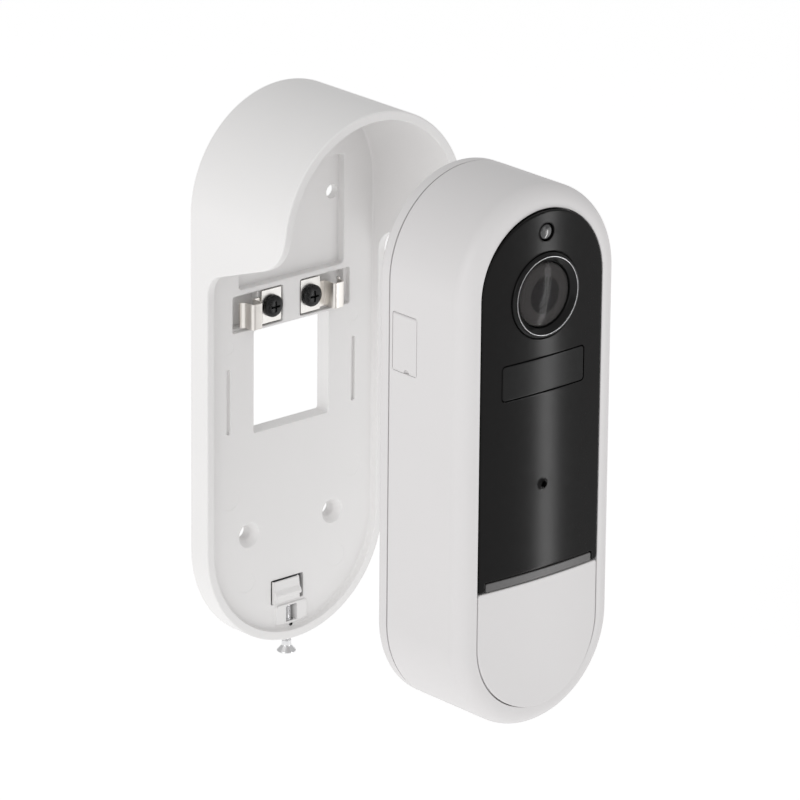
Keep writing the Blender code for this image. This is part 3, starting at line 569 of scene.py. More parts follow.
# the screw's clearance bore and countersink, drilled up through the bottom wall
carve(bracket, lathe([(0, -40), (2.65, -40), (2.65, -33.25), (1.4, -31.9), (1.4, -31.55), (1.75, -31.5),
                      (1.75, -26.2), (1.4, -26.1),
                       (1.4, -23.2), (0, -23.2)], (0, SCREW_Y, 0), "z", 40))

# ---- Terminals ---------------------------------------------------------------------
# The bell wires are held under two square clamp plates by black pan-head screws that run
# into brass inserts. A strip of nickel silver, bent into a spring, leads to the unit.


def metal(name, colour, roughness, brushed=(1.0, 1.0, 1.0), grain=0.35, tint=0.82, **constants):
    """Bare or plated metal: fine streaks along the way it was rolled, and a little tarnish."""
    paint = Paint(name, metallic=1.0, **constants)
    where = paint.place()
    streaks = paint.noise(paint.node("ShaderNodeMapping", {}, {"Vector": where, "Scale": brushed}),
                          grain, 3.0, 0.6)
    tarnish = paint.noise(where, 3.0, 3.0)
    paint.wear("Base Color", paint.mix(tarnish * 0.5 + streaks * 0.3, colour,
                                       tuple(c * tint for c in colour)))
    paint.wear("Roughness", roughness - 0.05 + streaks * 0.12 + tarnish * 0.05)
    paint.wear("Normal", paint.bump(streaks, 0.25, 0.004))
    return paint.material


def slab(outline, start, end, roll, skin=None):
    """A flat outline given thickness, with its edges rolled over at both faces by a quarter circle."""
    skin = skin or Skin()
    low_face, high_face = rolled(roll, start, steps=3), rolled(roll, end, steps=3, down=-1)
    skin.walls(outline, low_face + high_face[::-1])
    out = away(outline)
    skin.fill([outline - out * roll], start)
    return skin.fill([outline - out * roll], end)


def band(path, thickness, steps=4, bend=0.45):
    """The outline of a bent strip: its path with softened bends, and that path stood off."""
    line = softened(path, bend, steps=steps)
    along = np.gradient(line, axis=0)
    along /= np.linalg.norm(along, axis=1, keepdims=True)
    far = line + np.stack([along[:, 1], -along[:, 0]], 1) * thickness
    loop = np.concatenate([line, far[::-1]])
    area = np.sum(loop[:, 0] * np.roll(loop[:, 1], -1) - np.roll(loop[:, 0], -1) * loop[:, 1])
    return loop if area > 0 else loop[::-1]


FLAT_Z = [0, 2, 1]  # a skin drawn lying down is stood up: its depth becomes its height
nickel = metal("nickel_silver", (0.86, 0.83, 0.79), 0.3, (1.0, 1.0, 0.12))
plated = metal("plated_steel", (0.74, 0.725, 0.70), 0.36, (1.0, 1.0, 1.0), 0.5)
brass = metal("turned_brass", (0.80, 0.60, 0.30), 0.3, (0.3, 0.3, 1.0))
black_oxide = Paint("black_oxide", specular_ior_level=0.3)
where = black_oxide.place()
mottle = black_oxide.noise(where, 0.7, 3.0)
black_oxide.wear("Base Color", black_oxide.mix(mottle, (0.005, 0.005, 0.005), (0.011, 0.011, 0.0115)))
black_oxide.wear("Roughness", 0.2 + mottle * 0.18)
black_oxide.wear("Normal", black_oxide.bump(mottle, 0.3, 0.01))
black_oxide = black_oxide.material
low_z, high_z = TERMINAL_Z - 4.1, TERMINAL_Z + 2.6
PLATE_Y = -3.12


def recess(place, reach, half, depth, axis):
    """The cutter of a cross recess: two bars whose sides lean in towards the bottom."""
    tools = []
    for long, short in ((reach, half), (half, reach)):
        rows = []
        for share, level in ((1.12, -1.0), (1.0, 0.0), (0.72, depth)):
            corner = rounded((-long * share, long * share), (-short * share, short * share),
                             min(long, short) * 0.3, 3)
            rows.append(np.stack([corner[:, 0], np.full(len(corner), level), corner[:, 1]], 1))
        points = np.array(rows)
        if axis == "z":
            points = points[:, :, [0, 2, 1]]
        tool = Skin().grid(points + np.array(place))
        for row in (points[0] + np.array(place), points[-1] + np.array(place)):
            middle = row.mean(0)
            tool.grid(np.stack([row, np.broadcast_to(middle, row.shape)]))
        tools.append(tool)
    return tools


for word, side in (("left", -1), ("right", 1)):
    x = side * 6.4
    # the strip lies flat under the clamp and then stands up in a box-shaped hump, the spring
    path = [(3.3, PLATE_Y), (11.95, PLATE_Y), (12.0, -6.98), (14.8, -6.98), (14.85, -4.4), (15.7, -3.5),
            (16.4, -3.42)]
    path = [(side * a, b) for a, b in path]
    line = band(path, 0.4 * side, bend=[0, 0.62, 0.62, 0.62, 0.62, 0.62, 0])
    strip = made(f"contact_strip_{word}_bent", slab(line, low_z, high_z, 0.08), nickel, "bracket",
                 f"contact_strip_{word}", turn=FLAT_Z)
    carve(strip, lathe([(0, -6), (1.65, -6), (1.65, 0), (0, 0)], (x, 0, TERMINAL_Z), steps=40))
    # square clamp plate, pierced for the screw and with its two free edges turned over a little
    plate = rounded(sorted((side * 3.2, side * 9.6)), (TERMINAL_Z - 4.4, TERMINAL_Z + 4.4), 0.3, 4)
    clamp = made(f"terminal_clamp_{word}_plate", slab(plate, -4.15, -3.65, 0.09), plated,
                 f"{word}_clamp", f"terminal_clamp_{word}")
    carve(clamp, lathe([(0, -6), (1.62, -6), (1.62, -2), (0, -2)], (x, 0, TERMINAL_Z), steps=40))
    # pan-head screw: a domed head with a chamfered rim, and a shank down into the insert
    seat = -4.3
    shank = [(1.4, -1.1), (1.4, seat), (2.75, seat), (2.85, seat - 0.12), (2.85, seat - 0.72)]
    dome = [(2.85 * math.cos(a), seat - 0.72 - 0.98 * math.sin(a) ** 0.9)
            for a in np.linspace(0.08, math.pi / 2, 14)]
    screw_skin = lathe([(0, -0.8), (1.1, -0.8), *shank, *dome[:-1], (0, seat - 1.7)],
                       (x, 0, TERMINAL_Z), steps=72)
    screw = made(f"terminal_screw_{word}_pan", screw_skin, black_oxide, f"{word}_terminal_screw",
                 f"terminal_screw_{word}")
    carve(screw, *recess((x, seat - 1.66, TERMINAL_Z), 1.5, 0.3, 1.0, "y"))
    # knurled brass insert, pressed into the moulding
    turn = np.linspace(0, 2 * math.pi, 96, endpoint=False)
    knurl = 2.12 + 0.06 * np.cos(turn * 24)
    rows = [np.stack([x + r * np.cos(turn), np.full(96, y), TERMINAL_Z + r * np.sin(turn)], 1)
            for r, y in ((knurl, -0.62), (knurl, -2.98), (np.full(96, 1.6), -2.98),
                         (np.full(96, 1.5), -2.85), (np.full(96, 1.5), -0.62))]
    made(f"terminal_insert_{word}_knurled", Skin().grid(rows, join=True), brass, "bracket",
         f"terminal_insert_{word}")

# ---- Latch and retaining screw -----------------------------------------------------
# A white springy tongue with a sloped tooth catches the unit's back. A countersunk steel
# screw comes up behind it through a black guide and locks it: it is backed out to undock.

side_view = softened(
    [(-5.1, -17.4), (-5.35, -19.7), (-6.1, -20.9), (-6.1, -21.4), (-5.35, -21.9), (-5.35, -23.2),
     (-4.5, -23.2), (-4.5, -17.4)][::-1],
    0.18, closed=True, steps=4)
tongue = made("latch_tongue_sprung", slab(side_view, -6.2, 2.1, 0.15), bracket_white, "latch",
              "latch_tongue", turn=[1, 0, 2])
guide_black = moulded("guide_black", (0.018, 0.018, 0.019), (0.03, 0.03, 0.031), 0.5, 0.2, 0.008)
guide = made("screw_guide_insert", slab(rounded((-6.2, 3.9), (-23.3, -17.4), 0.3), -3.6, -0.3, 0.2),
             guide_black, "bracket", "screw_guide")
carve(guide, lathe([(0, -24.2), (1.5, -24.2), (1.5, -18.6), (0, -18.6)], (0, SCREW_Y, 0), "z", 40))
ring_low, ring_high = (np.array(corner) * 1000 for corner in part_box("captive_ring"))
ring = softened([(1.95, ring_low[2]), (1.95, ring_high[2]), (1.37, ring_high[2]), (1.37, ring_low[2])],
                0.1, closed=True, steps=3)
made("captive_ring_turned", lathe(ring, (0, SCREW_Y, 0), "z"), guide_black, "screw_carrier", "captive_ring")

# the thread: the radius falls and rises once for each pitch along, and each turn round
screw_low, screw_high = (np.array(corner) * 1000 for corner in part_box("retaining_screw"))
PITCH = 0.45
turn = np.linspace(0, 2 * math.pi, 60, endpoint=False)
along = np.arange(-35.1, screw_high[2] - 0.35, PITCH / 9)
phase = (along[:, None] / PITCH - turn[None] / (2 * math.pi)) % 1
fade = np.clip((along + 35.1) / 0.5, 0, 1)[:, None] * np.clip((screw_high[2] - 0.35 - along) / 0.5, 0,
                                                              1)[:, None]
groove = 0.26 * np.clip(1.15 * np.abs(2 * phase - 1), 0, 1) * fade
thread = 1.25 - groove
rows = np.stack([thread * np.cos(turn), np.broadcast_to(SCREW_Y, thread.shape) + thread * np.sin(turn),
                 np.broadcast_to(along[:, None], thread.shape)], 2)


def ring_at(radius, z):
    return np.stack([radius * np.cos(turn), SCREW_Y + radius * np.sin(turn), np.full(len(turn), z)],
                    1)[None]


face_z = screw_low[2]
foot_rows = [ring_at(r, z) for r, z in ((0, face_z), (2.3, face_z), (2.44, face_z + 0.04),
                                        (2.5, face_z + 0.14), (2.5, face_z + 0.26),
                                        (2.42, face_z + 0.4), (1.34, -36.4), (1.27, -36.25), (1.25, -36.0))]
tip_rows = [ring_at(1.12, screw_high[2] - 0.3), ring_at(0.8, screw_high[2]), ring_at(0, screw_high[2])]
zinc = metal("bright_zinc", (0.80, 0.80, 0.81), 0.2, (1.0, 1.0, 0.4), 0.3)
retainer = made("retaining_screw_threaded", Skin().grid(np.concatenate([*foot_rows, rows, *tip_rows])),
                zinc,
                "retaining_screw", "retaining_screw", sharp=60)
carve(retainer, *recess((0, SCREW_Y, face_z), 1.4, 0.28, 1.1, "z"))

# ---- Unit: front housing and rear cover --------------------------------------------
# Two white mouldings meet at a fine groove near the back. The front one is a deep tub with
# a broad soft edge round its face; the cover is screwed to its bosses against a seal.

UNIT_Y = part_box("rear_cover")[1].y * 1000
UNIT = 25.0
unit_white = moulded("unit_white", (0.725, 0.71, 0.71), (0.70, 0.685, 0.685), 0.42)
turn = np.linspace(0, math.pi / 2, 25)
broad = [(UNIT - 4.4 + 4.4 * math.cos(a), -26.1 - 4.4 * math.sin(a)) for a in turn]
section = [(22.8, -3.6), (24.82, -3.6), (24.93, -3.65), (24.985, -3.76), (25.0, -3.9)] + broad
section += [(19.8, -30.49), (19.7, -30.42), (19.66, -30.3), (19.66, -28.6), (18.4, -28.6),
            (18.4, -27.4), (22.8, -26.4)]


def ringed(section, skin=None, join=True):
    """A section of (radius, depth) pairs carried round the stadium outline."""
    rows = [np.stack([line[:, 0], np.full(len(line), y + UNIT_Y), line[:, 1]], 1)
            for line, y in ((stadium(radius), y) for radius, y in section)]
    return (skin or Skin()).grid(rows, join=join)


tub = ringed(section)
housing = made("front_housing_tub", tub, unit_white, "camera_unit", "front_housing")


def side_tool(outline, start, end, lip):
    """A cutter that goes into the left side: an outline in y and z, with a lip that rolls the edge."""
    skin = Skin()
    profile = [(lip + 0.02, start - 0.5)] + rolled(lip, start, inward=True, steps=4) + [(0, end)]
    skin.walls(outline, profile)
    out = away(outline)
    skin.fill([outline + out * profile[0][0]], profile[0][1])
    return skin.fill([outline], end)


def turned_side(skin):
    """The same skin with its depth laid along x, and its flat x along y."""
    skin.points = [points[:, [1, 0, 2]] for points in skin.points]
    return skin


flap_low, flap_high = (np.array(corner) * 1000 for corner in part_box("side_flap"))
seat = rounded((flap_low[1] - 0.28, flap_high[1] + 0.07), (flap_low[2] - 0.08, flap_high[2] + 0.26), 0.7, 6)
port = rounded((UNIT_Y - 11.6, UNIT_Y - 6.0), (62.9, 75.7), 1.0)
slots = []
for x in (-4.4, 0.0, 4.4):
    slot_line = rounded((x - 0.7, x + 0.7), (UNIT_Y - 19, UNIT_Y - 9), 0.65, 6)
    slot_tool = Skin()
    slot_tool.walls(slot_line, [(0, -31), (0, -24)])
    slot_tool.fill([slot_line], -31)
    slot_tool.fill([slot_line], -24)
    slot_tool.points = [points[:, [0, 2, 1]] for points in slot_tool.points]
    slots.append(slot_tool)
carve(housing, turned_side(side_tool(seat, -25.0, -23.45, 0.12)),
      turned_side(side_tool(port, -23.5, -21.0, 0.05)), *slots)

cover = Skin()
back_face = stadium(24.2)
rim = softened([(24.2, 0), (24.62, -0.12), (24.95, -0.85), (24.95, -3.2), (21.9, -3.2), (21.9, -5.0),
                (20.4, -5.0), (20.4, -2.2)],
               [0, 0.4, 0.6, 0.16, 0.1, 0.15, 0.15, 0])
ringed(rim, cover, join=False)
back_holes, inner_holes = [], []
outline = rounded((-10.4, 10.4), (51.4, 62.2), 0.8)
mouth, foot = sink(cover, outline, UNIT_Y, UNIT_Y - 1.8, 0.2, 0.15)
back_holes.append(mouth)
cover.fill([foot], UNIT_Y - 1.8)
outline = rounded((-7.1, 3.0), (-23.9, -16.6), 0.5)
mouth, foot = sink(cover, outline, UNIT_Y, UNIT_Y - 1.65, 0.15, 0.1)
back_holes.append(mouth)
cover.fill([foot], UNIT_Y - 1.65)
for side in (-1, 1):
    outline = rounded(sorted((side * 10.85, side * 16.7)), (TERMINAL_Z - 4.6, TERMINAL_Z + 3.1), 0.5)
    mouth, foot = sink(cover, outline, UNIT_Y, UNIT_Y - 2.2, 0.2)
    back_holes.append(mouth)
    inner_holes.append(foot)
screw_places = [(x, z) for z in (TOP_Z + 15.7, LOW_Z - 15.7) for x in (-13.3, 13.3)]
for x, z in screw_places:
    mouth, foot = sink(cover, circle(x, z, 2.35), UNIT_Y, UNIT_Y - 1.9, 0.15, 0.1)
    back_holes.append(mouth)
    bore, bore_foot = sink(cover, circle(x, z, 1.15), UNIT_Y - 1.9, UNIT_Y - 2.1, 0.05)
    cover.fill([foot, bore], UNIT_Y - 1.9)
    cover.fill([bore_foot], UNIT_Y - 2.1)
cover.fill([back_face, *back_holes], UNIT_Y)
cover.fill([stadium(20.4), *inner_holes], UNIT_Y - 2.2)
made("rear_cover_moulded", cover, unit_white, "camera_unit", "rear_cover")

rubber = moulded("seal_rubber", (0.10, 0.10, 0.105), (0.14, 0.14, 0.145), 0.72, 0.3, 0.006)
seal = softened([(22.1, -3.55), (22.6, -3.55), (22.6, -4.7), (22.1, -4.7)], 0.22, closed=True, steps=4)
made("housing_seal_ring", ringed(seal), rubber, "camera_unit", "housing_seal")
for number, (x, z) in enumerate(((-13.3, TOP_Z + 15.7), (13.3, TOP_Z + 15.7), (-13.3, LOW_Z - 15.7),
                                 (13.3, LOW_Z - 15.7)), 1):
    profile = [(0, -0.35), (1.82, -0.35), (1.96, -0.42), (2.0, -0.58), (2.0, -1.6), (1.9, -1.7),
               (0.95, -1.7), (0.95, -11.4), (0, -12.4)]
    profile = [(radius, y + UNIT_Y) for radius, y in profile]
    fixing = made(f"cover_screw_{number}_turned", lathe(profile, (x, 0, z), steps=48), zinc,
                  "camera_unit", f"cover_screw_{number}")
    for tool in recess((0, 0, 0), 1.1, 0.25, 0.75, "y"):
        tool.points = [points * np.array([1, -1, 1]) + np.array([x, UNIT_Y - 0.35, z])
                       for points in tool.points]
        carve(fixing, tool)

# ---- Side flap ---------------------------------------------------------------------
# A small white door over the charging socket. It swings up on pins at its rounded top
# edge, and a fingernail notch at its foot opens it.

half = 0.55
arc_turn = np.linspace(0, math.pi, 13)
hinge_x, hinge_z = flap_low[0] + half, flap_high[2] - half
door = np.concatenate([
    [(hinge_x - half, flap_low[2]), (hinge_x + half, flap_low[2])],
    np.stack([hinge_x + half * np.cos(arc_turn), hinge_z + half * np.sin(arc_turn)], 1),
])
flap = made("side_flap_door", slab(door, flap_low[1], flap_high[1], 0.12), unit_white, "side_flap",
            "side_flap", turn=[0, 1, 2])
middle = (flap_low[1] + flap_high[1]) / 2 - 0.8
nail = [(0, -27), (1.0, -27), (1.0, -24.75), (0.8, -24.45), (0.4, -24.3), (0, -24.27)]
carve(flap, lathe(nail, (0, middle, flap_low[2]), "x", 40))

# ---- Front panel -------------------------------------------------------------------
# Black acrylic, 2 mm thick and slightly crowned across its width, printed on its back so
# that it looks deep and glossy. It is bonded to a ledge inside the housing's edge.

PANEL = 19.4
PANEL_Y = UNIT_Y - 30.6


def crown(x, z):
    """The panel's face: deepest at its sides, and a millimetre proud along its middle line."""
    return PANEL_Y - 1.0 * (1 - (x / PANEL) ** 2)


def crown_lift(lift):
    return lambda x, z: crown(x, z) - lift


def dense(outline, step=1.0):
    """A closed outline with points added, so that none of its straight runs is longer than a step."""
    run_on = np.roll(outline, -1, 0) - outline
    parts = np.maximum(1, np.ceil(np.linalg.norm(run_on, axis=1) / step)).astype(int)
    start = np.repeat(np.arange(len(outline)), parts)
    share = (np.arange(parts.sum()) - (np.cumsum(parts) - parts)[start]) / parts[start]
    return outline[start] + run_on[start] * share[:, None]


def crowned(outline, holes, roll, back, lift=0.0, spacing=1.3, skin=None):
    """A plate under the crown: its outline's edge and its holes' mouths rolled over, the face filled
    over a lattice of inner points so that it follows the curve, and a flat back.
    Each hole is (outline, roll)."""
    skin = skin or Skin()
    face = crown_lift(lift)
    outline = dense(outline)
    skin.walls(outline, rolled(roll, 0) + [(0, back, "flat")], face)
    mouths, feet = [], []
    for hole, hole_roll in holes:
        mouth, foot = sink(skin, dense(hole), 0, back, hole_roll, surface=face)
        mouths.append(mouth)
        feet.append(foot)
    rim_line = outline - away(outline) * roll
    x, z = np.meshgrid(np.arange(-PANEL, PANEL, spacing),
                       np.arange(rim_line[:, 1].min(), rim_line[:, 1].max(), spacing * 3))
    lattice = np.stack([x.ravel(), z.ravel()], 1)
    clear = inside(lattice, rim_line - away(rim_line) * 0.6)
    for mouth in mouths:
        clear &= ~inside(lattice, mouth + away(mouth) * 0.6)
    guard = np.concatenate([rim_line - away(rim_line) * 0.3,
                            *(mouth + away(mouth) * 0.3 for mouth in mouths)])
    guard = guard[inside(guard, rim_line - away(rim_line) * 0.2)]
    skin.fill([rim_line, *mouths], face, np.concatenate([lattice[clear], guard]))
    skin.fill([outline, *feet], back)
    return skin


def mid_z(node):
    """The height of the middle of a node."""
    low_corner, high_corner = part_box(node)
    return (low_corner.z + high_corner.z) * 500


lens_z = mid_z("lens_ring")
sensor_z = mid_z("light_sensor_window")
pir_z = mid_z("pir_window")
mic_z = mid_z("microphone")
BAR_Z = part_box("light_bar")[0].z * 1000
bar_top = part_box("light_bar")[1].z * 1000
dome = np.linspace(0, math.pi, 97)
side_line = np.linspace(TOP_Z, BAR_Z + 0.6, 24)[1:-1]
panel_line = np.concatenate([
    np.stack([PANEL * np.cos(dome), TOP_Z + PANEL * np.sin(dome)], 1),
    np.stack([np.full(22, -PANEL), side_line], 1),
    softened([(-PANEL, BAR_Z + 2.0), (-PANEL, BAR_Z), (-17.45, BAR_Z), (-17.45, bar_top + 0.25),
              (17.45, bar_top + 0.25),
              (17.45, BAR_Z), (PANEL, BAR_Z), (PANEL, BAR_Z + 2.0)],
             [0, 0.9, 0.85, 0.35, 0.35, 0.85, 0.9, 0], steps=5),
    np.stack([np.full(22, PANEL), side_line[::-1]], 1),
])
panel_paint = Paint("piano_black", ior=1.2)
where = panel_paint.place()
orange_peel = panel_paint.noise(where, 2.2, 1.0)
dust = panel_paint.noise(where, 0.09, 0.0)
panel_paint.wear("Base Color", panel_paint.mix(orange_peel, (0.0055, 0.0052, 0.0052),
                                               (0.0068, 0.0064, 0.0064)))
panel_paint.wear("Roughness", 0.13 + orange_peel * 0.03 + dust * 0.02)
panel_paint.wear("Normal", panel_paint.bump(orange_peel, 0.05, 0.01))
panel_skin = crowned(panel_line, [
    (circle(0, lens_z, 10.95, 96), 0.12),
    (circle(0, sensor_z, 2.25, 48), 0.15),
    (rounded((-13.4, 13.4), (pir_z - 4.6, pir_z + 4.6), 1.1), 0.1),
    (circle(0, mic_z, 0.8, 32), 0.7),
], 0.3, UNIT_Y - 28.85)
made("front_panel_crowned", panel_skin, panel_paint.material, "camera_unit", "front_panel")

# ---- Motion sensor window, light sensor window -------------------------------------
# The motion sensor looks out through a thin flush window of infrared-clear plastic, and
# the light sensor through a small clear dome in the panel.

pir_paint = Paint("infrared_plastic", ior=1.22)
where = pir_paint.place()
haze = pir_paint.noise(where, 1.6, 2.0)
pir_paint.wear("Base Color", pir_paint.mix(haze, (0.006, 0.006, 0.006), (0.009, 0.009, 0.009)))
pir_paint.wear("Roughness", 0.16 + haze * 0.05)
pir_paint.wear("Normal", pir_paint.bump(haze, 0.05, 0.01))
pir_line = rounded((-13.15, 13.15), (pir_z - 4.35, pir_z + 4.35), 0.9)
made("pir_window_flush", crowned(pir_line, [], 0.16, UNIT_Y - 28.9, lift=0.03), pir_paint.material,
     "camera_unit", "pir_window")

sensor_paint = Paint("sensor_dome", specular_ior_level=0.7, coat_weight=0.6)
where = sensor_paint.place()
across = sensor_paint.node("ShaderNodeVectorMath", {"operation": "DISTANCE"},
                           {0: where, 1: (0.0, UNIT_Y - 31.0, sensor_z)}, output=1)
chip = sensor_paint.node("ShaderNodeMapRange", {"interpolation_type": "SMOOTHSTEP"},
                         {"Value": across, 1: 0.9, 2: 1.25, 3: 1.0, 4: 0.0})
sensor_paint.wear("Base Color", sensor_paint.mix(chip, (0.02, 0.02, 0.021), (0.11, 0.105, 0.105)))
sensor_paint.wear("Roughness", 0.08 + chip * 0.12)
profile = [(0, -31.82), (0.7, -31.78), (1.3, -31.66), (1.75, -31.48), (1.95, -31.3), (2.0, -31.1),
           (2.0, -28.9), (0, -28.9)]
made("light_sensor_window_dome", lathe([(r, y + UNIT_Y) for r, y in profile], (0, 0, sensor_z), steps=48),
     sensor_paint.material, "camera_unit", "light_sensor_window")

# ---- Lens --------------------------------------------------------------------------
# A black bezel with one bright turned edge holds the cover glass; behind it are the
# ribbed baffle that stops stray light and the domed front element.



def from_axis(paint, where):
    """How far a place on a lens piece is from the lens's own axis."""
    flat = paint.node("ShaderNodeVectorMath", {"operation": "MULTIPLY"}, {0: where, 1: (1.0, 0.0, 1.0)})
    return paint.node("ShaderNodeVectorMath", {"operation": "DISTANCE"},
                      {0: flat, 1: (0.0, 0.0, lens_z)}, output=1)


def fades(paint, value, start, end):
    """Rises smoothly from 0 to 1 as a value goes from a start to an end."""
    return paint.node("ShaderNodeMapRange", {"interpolation_type": "SMOOTHSTEP"},
                      {"Value": value, 1: start, 2: end, 3: 0.0, 4: 1.0})


bezel_paint = Paint("black_bezel", ior=1.25)
where = bezel_paint.place()
radius = from_axis(bezel_paint, where)
edge = fades(bezel_paint, radius, 9.64, 9.69) * (1.0 - fades(bezel_paint, radius, 9.78, 9.83))
lathe_marks = bezel_paint.noise(where, 0.2, 2.0)
bezel_paint.wear("Base Color", bezel_paint.mix(edge, (0.008, 0.008, 0.008), (0.40, 0.40, 0.41)))
bezel_paint.wear("Metallic", edge * 1.0)
bezel_paint.wear("Roughness", 0.16 + edge * 0.08 + lathe_marks * 0.05)
profile = softened([(10.7, -28.9), (10.7, -31.75), (10.3, -32.2), (9.8, -32.42), (9.4, -32.3),
                    (8.25, -31.25), (8.2, -28.9)],
                   [0, 0.12, 0.05, 0.08, 0.3, 0.2, 0], closed=True, steps=4)
made("lens_ring_bezel", lathe([(r, y + UNIT_Y) for r, y in profile], (0, 0, lens_z), steps=128),
     bezel_paint.material, "camera_unit", "lens_ring")

glass_paint = Paint("cover_glass", ior=1.14, alpha=0.72)
where = glass_paint.place()
bloom = glass_paint.noise(where, 4.0, 1.0)
radius = from_axis(glass_paint, where)
# The glass's colour is painted darker inside a radius of about 4.6 mm and lighter grey outside it. This is
# painted shade for the deep lens opening seen through the glass.
outside_painted_shade = fades(glass_paint, radius, 4.5, 4.7)
tint = glass_paint.mix(outside_painted_shade, (0.018, 0.017, 0.017), (0.062, 0.058, 0.057))
glass_paint.wear("Base Color", glass_paint.mix(bloom * 0.4, tint, (0.045, 0.044, 0.045)))
glass_paint.wear("Roughness", 0.04 + bloom * 0.03)
profile = [(0, -31.45), (2, -31.43), (4.0, -31.37), (6.0, -31.24), (7.3, -31.1), (7.75, -31.0),
           (7.92, -30.88), (7.95, -30.7), (7.95, -30.2), (0, -30.2)]
made("lens_cover_glass_domed", lathe([(r, y + UNIT_Y) for r, y in profile], (0, 0, lens_z), steps=96),
     glass_paint.material, "camera_unit", "lens_cover_glass")

baffle_paint = Paint("baffle_grey", specular_ior_level=0.35)
where = baffle_paint.place()
speck = baffle_paint.noise(where, 0.5, 2.0)
baffle_paint.wear("Base Color", baffle_paint.mix(speck, (0.045, 0.044, 0.043), (0.034, 0.033, 0.032)))
baffle_paint.wear("Roughness", 0.28 + speck * 0.1)
profile = [(7.9, -29.9), (7.9, -27.5), (3.3, -27.5), (3.5, -28.2), (4.6, -28.3), (4.75, -28.9),
           (5.05, -28.95), (6.2, -29.05), (6.4, -29.6), (6.7, -29.9)]
profile = softened(profile, [0, 0, 0, 0.1, 0.1, 0.12, 0.12, 0.12, 0.12, 0.1], closed=True, steps=3)
made("lens_baffle_ribbed", lathe([(r, y + UNIT_Y) for r, y in profile], (0, 0, lens_z), steps=96),
     baffle_paint.material, "camera_unit", "lens_baffle")

element_paint = Paint("coated_element", specular_ior_level=0.5, coat_weight=0.4, coat_roughness=0.02)
where = element_paint.place()
tint = element_paint.noise(where, 3.0, 1.0)
element_paint.wear("Base Color", element_paint.mix(tint, (0.02, 0.02, 0.022), (0.028, 0.026, 0.026)))
element_paint.wear("Roughness", 0.05 + tint * 0.03)
angle = np.linspace(0, math.pi / 2, 14)
profile = [(3.1 * math.sin(a), -27.9 - 1.5 * math.cos(a)) for a in angle] + [(3.1, -27.3), (0, -27.3)]
made("front_lens_element_domed", lathe([(r, y + UNIT_Y) for r, y in profile], (0, 0, lens_z), steps=72),
     element_paint.material, "camera_unit", "front_lens_element")

# ---- Light bar and call button -----------------------------------------------------
# The smoked bar glows when the bell is pressed. Below it the white call button carries on
# the panel's curve; its post reaches back to the switch.

bar_paint = Paint("smoked_diffuser", specular_ior_level=0.4)
where = bar_paint.place()
cloud = bar_paint.noise(where, 1.2, 2.0)
bar_paint.wear("Base Color", bar_paint.mix(cloud, (0.115, 0.112, 0.112), (0.095, 0.093, 0.093)))
bar_paint.wear("Roughness", 0.3 + cloud * 0.08)
bar_paint.wear("Normal", bar_paint.bump(cloud, 0.1, 0.01))
bar_line = rounded((-17.2, 17.2), (BAR_Z, bar_top), 0.45, 5)
made("light_bar_smoked", crowned(bar_line, [], 0.2, UNIT_Y - 28.2, spacing=1.0), bar_paint.material,
     "camera_unit", "light_bar")

button_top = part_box("call_button")[1].z * 1000
belly = np.linspace(math.pi, 2 * math.pi, 97)
flank = np.linspace(LOW_Z, button_top - 2.1, 8)[1:]
button_line = np.concatenate([
    np.stack([PANEL * np.cos(belly), LOW_Z + PANEL * np.sin(belly)], 1),
    np.stack([np.full(7, PANEL), flank], 1),
    softened([(PANEL, button_top - 2.0), (PANEL, button_top), (-PANEL, button_top),
              (-PANEL, button_top - 2.0)], 0.96, steps=5)[1:-1],
    np.stack([np.full(7, -PANEL), flank[::-1]], 1),
])
button_skin = crowned(button_line, [], 0.35, UNIT_Y - 29.4)
post = [(0, -29.3), (3.0, -29.3), (3.0, -26.7), (2.8, -26.5), (0, -26.5)]
lathe([(r, y + UNIT_Y) for r, y in post], (0, 0, -6.0), steps=40, skin=button_skin)
made("call_button_crowned", button_skin, unit_white, "call_button", "call_button")

# ---- Inside the unit ---------------------------------------------------------------
# Boards, battery, speaker, socket and the rest keep their plain engineering shapes, since
# they are seen only through gaps. Each gets the finish of its real material.


def board_green():
    """Solder mask over glass cloth: a woven ripple and darker copper fields beneath."""
    paint = Paint("solder_mask", specular_ior_level=0.5)
    where = paint.place()
    weave = paint.node("ShaderNodeTexChecker", {}, {"Vector": where, "Scale": 1.6}, output=1)
    fields = paint.noise(where, 6.0, 1.0)
    paint.wear("Base Color", paint.mix(fields * 0.7 + weave * 0.15, (0.015, 0.10, 0.045),
                                       (0.01, 0.06, 0.03)))
    paint.wear("Roughness", 0.32 + fields * 0.12)
    paint.wear("Normal", paint.bump(weave, 0.05, 0.01))
    return paint.material


def film(name, colour, darker, roughness):
    """Thin printed film or wrap, slightly creased."""
    paint = Paint(name, specular_ior_level=0.5)
    where = paint.place()
    crease = paint.noise(where, 5.0, 4.0, 0.6)
    paint.wear("Base Color", paint.mix(crease, colour, darker))
    paint.wear("Roughness", roughness + crease * 0.12)
    paint.wear("Normal", paint.bump(crease, 0.4, 0.05))
    return paint.material


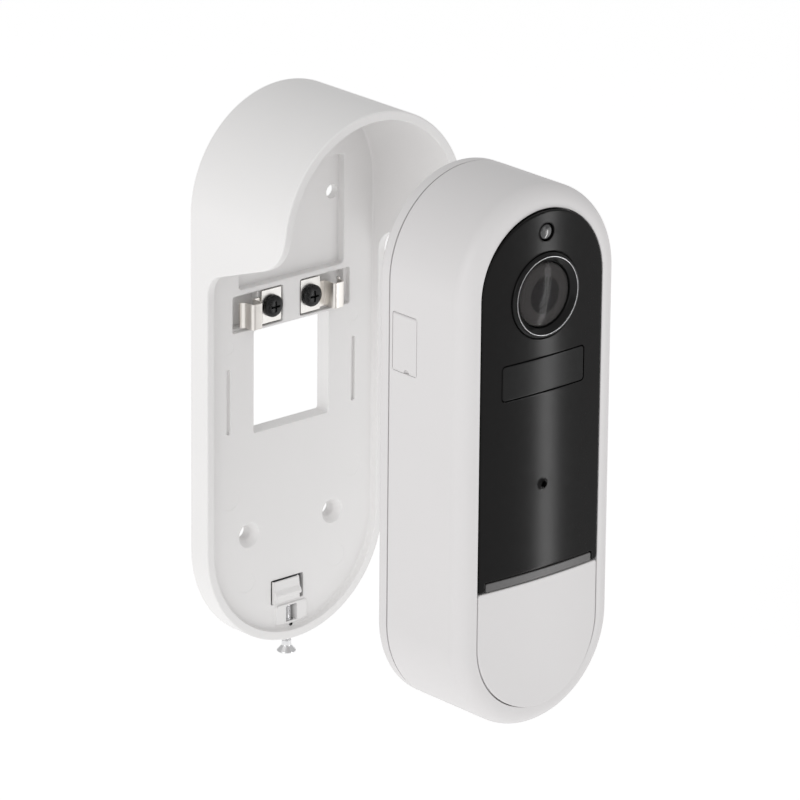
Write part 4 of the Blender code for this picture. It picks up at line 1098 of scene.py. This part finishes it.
solder_mask = board_green()
black_resin = moulded("black_resin", (0.02, 0.02, 0.021), (0.03, 0.03, 0.032), 0.45, 0.25, 0.01)
steel_can = metal("drawn_steel", (0.66, 0.66, 0.67), 0.3)
bare_aluminium = metal("bare_aluminium", (0.74, 0.75, 0.77), 0.34, (0.15, 1.0, 1.0))
amber_film = film("polyimide_film", (0.55, 0.27, 0.05), (0.42, 0.19, 0.03), 0.35)
cell_wrap = film("cell_wrap", (0.10, 0.13, 0.20), (0.07, 0.10, 0.16), 0.4)
finishes = {
    "camera_board": solder_mask, "light_sensor_board": solder_mask, "light_bar_board": solder_mask,
    "button_board": solder_mask, "main_board": solder_mask,
    "lens_barrel": black_resin, "camera_holder": black_resin, "button_switch": black_resin,
    "switch_plunger": black_resin, "speaker": black_resin, "reset_button": black_resin,
    "shield_can": steel_can, "pir_sensor": steel_can, "microphone": steel_can, "charging_socket": steel_can,
    "rear_contact_left": nickel, "rear_contact_right": nickel,
    "heat_spreader": bare_aluminium, "microphone_boot": rubber, "speaker_gasket": rubber,
    "board_flex_cable": amber_film, "wifi_antenna": amber_film, "battery_pack": cell_wrap,
}
for name, finish in finishes.items():
    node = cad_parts[name]
    node.data.materials.clear()
    node.data.materials.append(finish)

# ---- Floor and lights --------------------------------------------------------------
# A plain pale floor a little below the doorbell, and large soft lamps around it.

def sheet_of(name, x, y, z):
    """A flat rectangle at one height."""
    mesh = bpy.data.meshes.new(name)
    mesh.from_pydata([(x[0], y[0], z), (x[1], y[0], z), (x[1], y[1], z), (x[0], y[1], z)], [],
                     [(0, 1, 2, 3)])
    thing = bpy.data.objects.new(name, mesh)
    bpy.context.scene.collection.objects.link(thing)
    return thing


floor_paint = Paint("studio_floor", roughness=0.9, specular_ior_level=0.1)
soft_cloud = floor_paint.noise(floor_paint.place(), 400.0)
floor_paint.wear("Base Color", floor_paint.mix(soft_cloud, (0.97, 0.97, 0.97), (0.98, 0.98, 0.98)))
floor_paint.wear("Emission Color", (1.0, 1.0, 1.0))
floor_paint.wear("Emission Strength", 0.37)
ground = sheet_of("studio_floor", (-6, 6), (-6, 6), low.z - 0.045)
ground.data.materials.append(floor_paint.material)

world = bpy.data.worlds.new("studio")
world.use_nodes = True
world.node_tree.nodes["Background"].inputs["Color"].default_value = (1, 1, 1, 1)
world.node_tree.nodes["Background"].inputs["Strength"].default_value = 0.6
bpy.context.scene.world = world
bpy.context.scene.view_settings.view_transform = "Standard"


def lamp(name, place, size, power, colour=(1, 1, 1)):
    """A rectangular lamp that faces the middle of the doorbell."""
    light = bpy.data.lights.new(name, "AREA")
    light.shape = "RECTANGLE"
    light.size, light.size_y = size
    light.energy = power
    light.color = colour
    thing = bpy.data.objects.new(name, light)
    thing.location = place
    thing.rotation_mode = "QUATERNION"
    thing.rotation_quaternion = (Vector(place) - aim).to_track_quat("Z", "Y")
    bpy.context.scene.collection.objects.link(thing)
    return thing


lamp("key_left", (-2.0, -0.6, 0.9), (1.4, 1.4), 11)
lamp("front", (0.6, -2.4, 0.3), (1.2, 1.6), 4.2)
streak = lamp("panel_streak", (0.112, -0.215, -0.005), (0.012, 0.15), 0.055)
streak.visible_diffuse = False
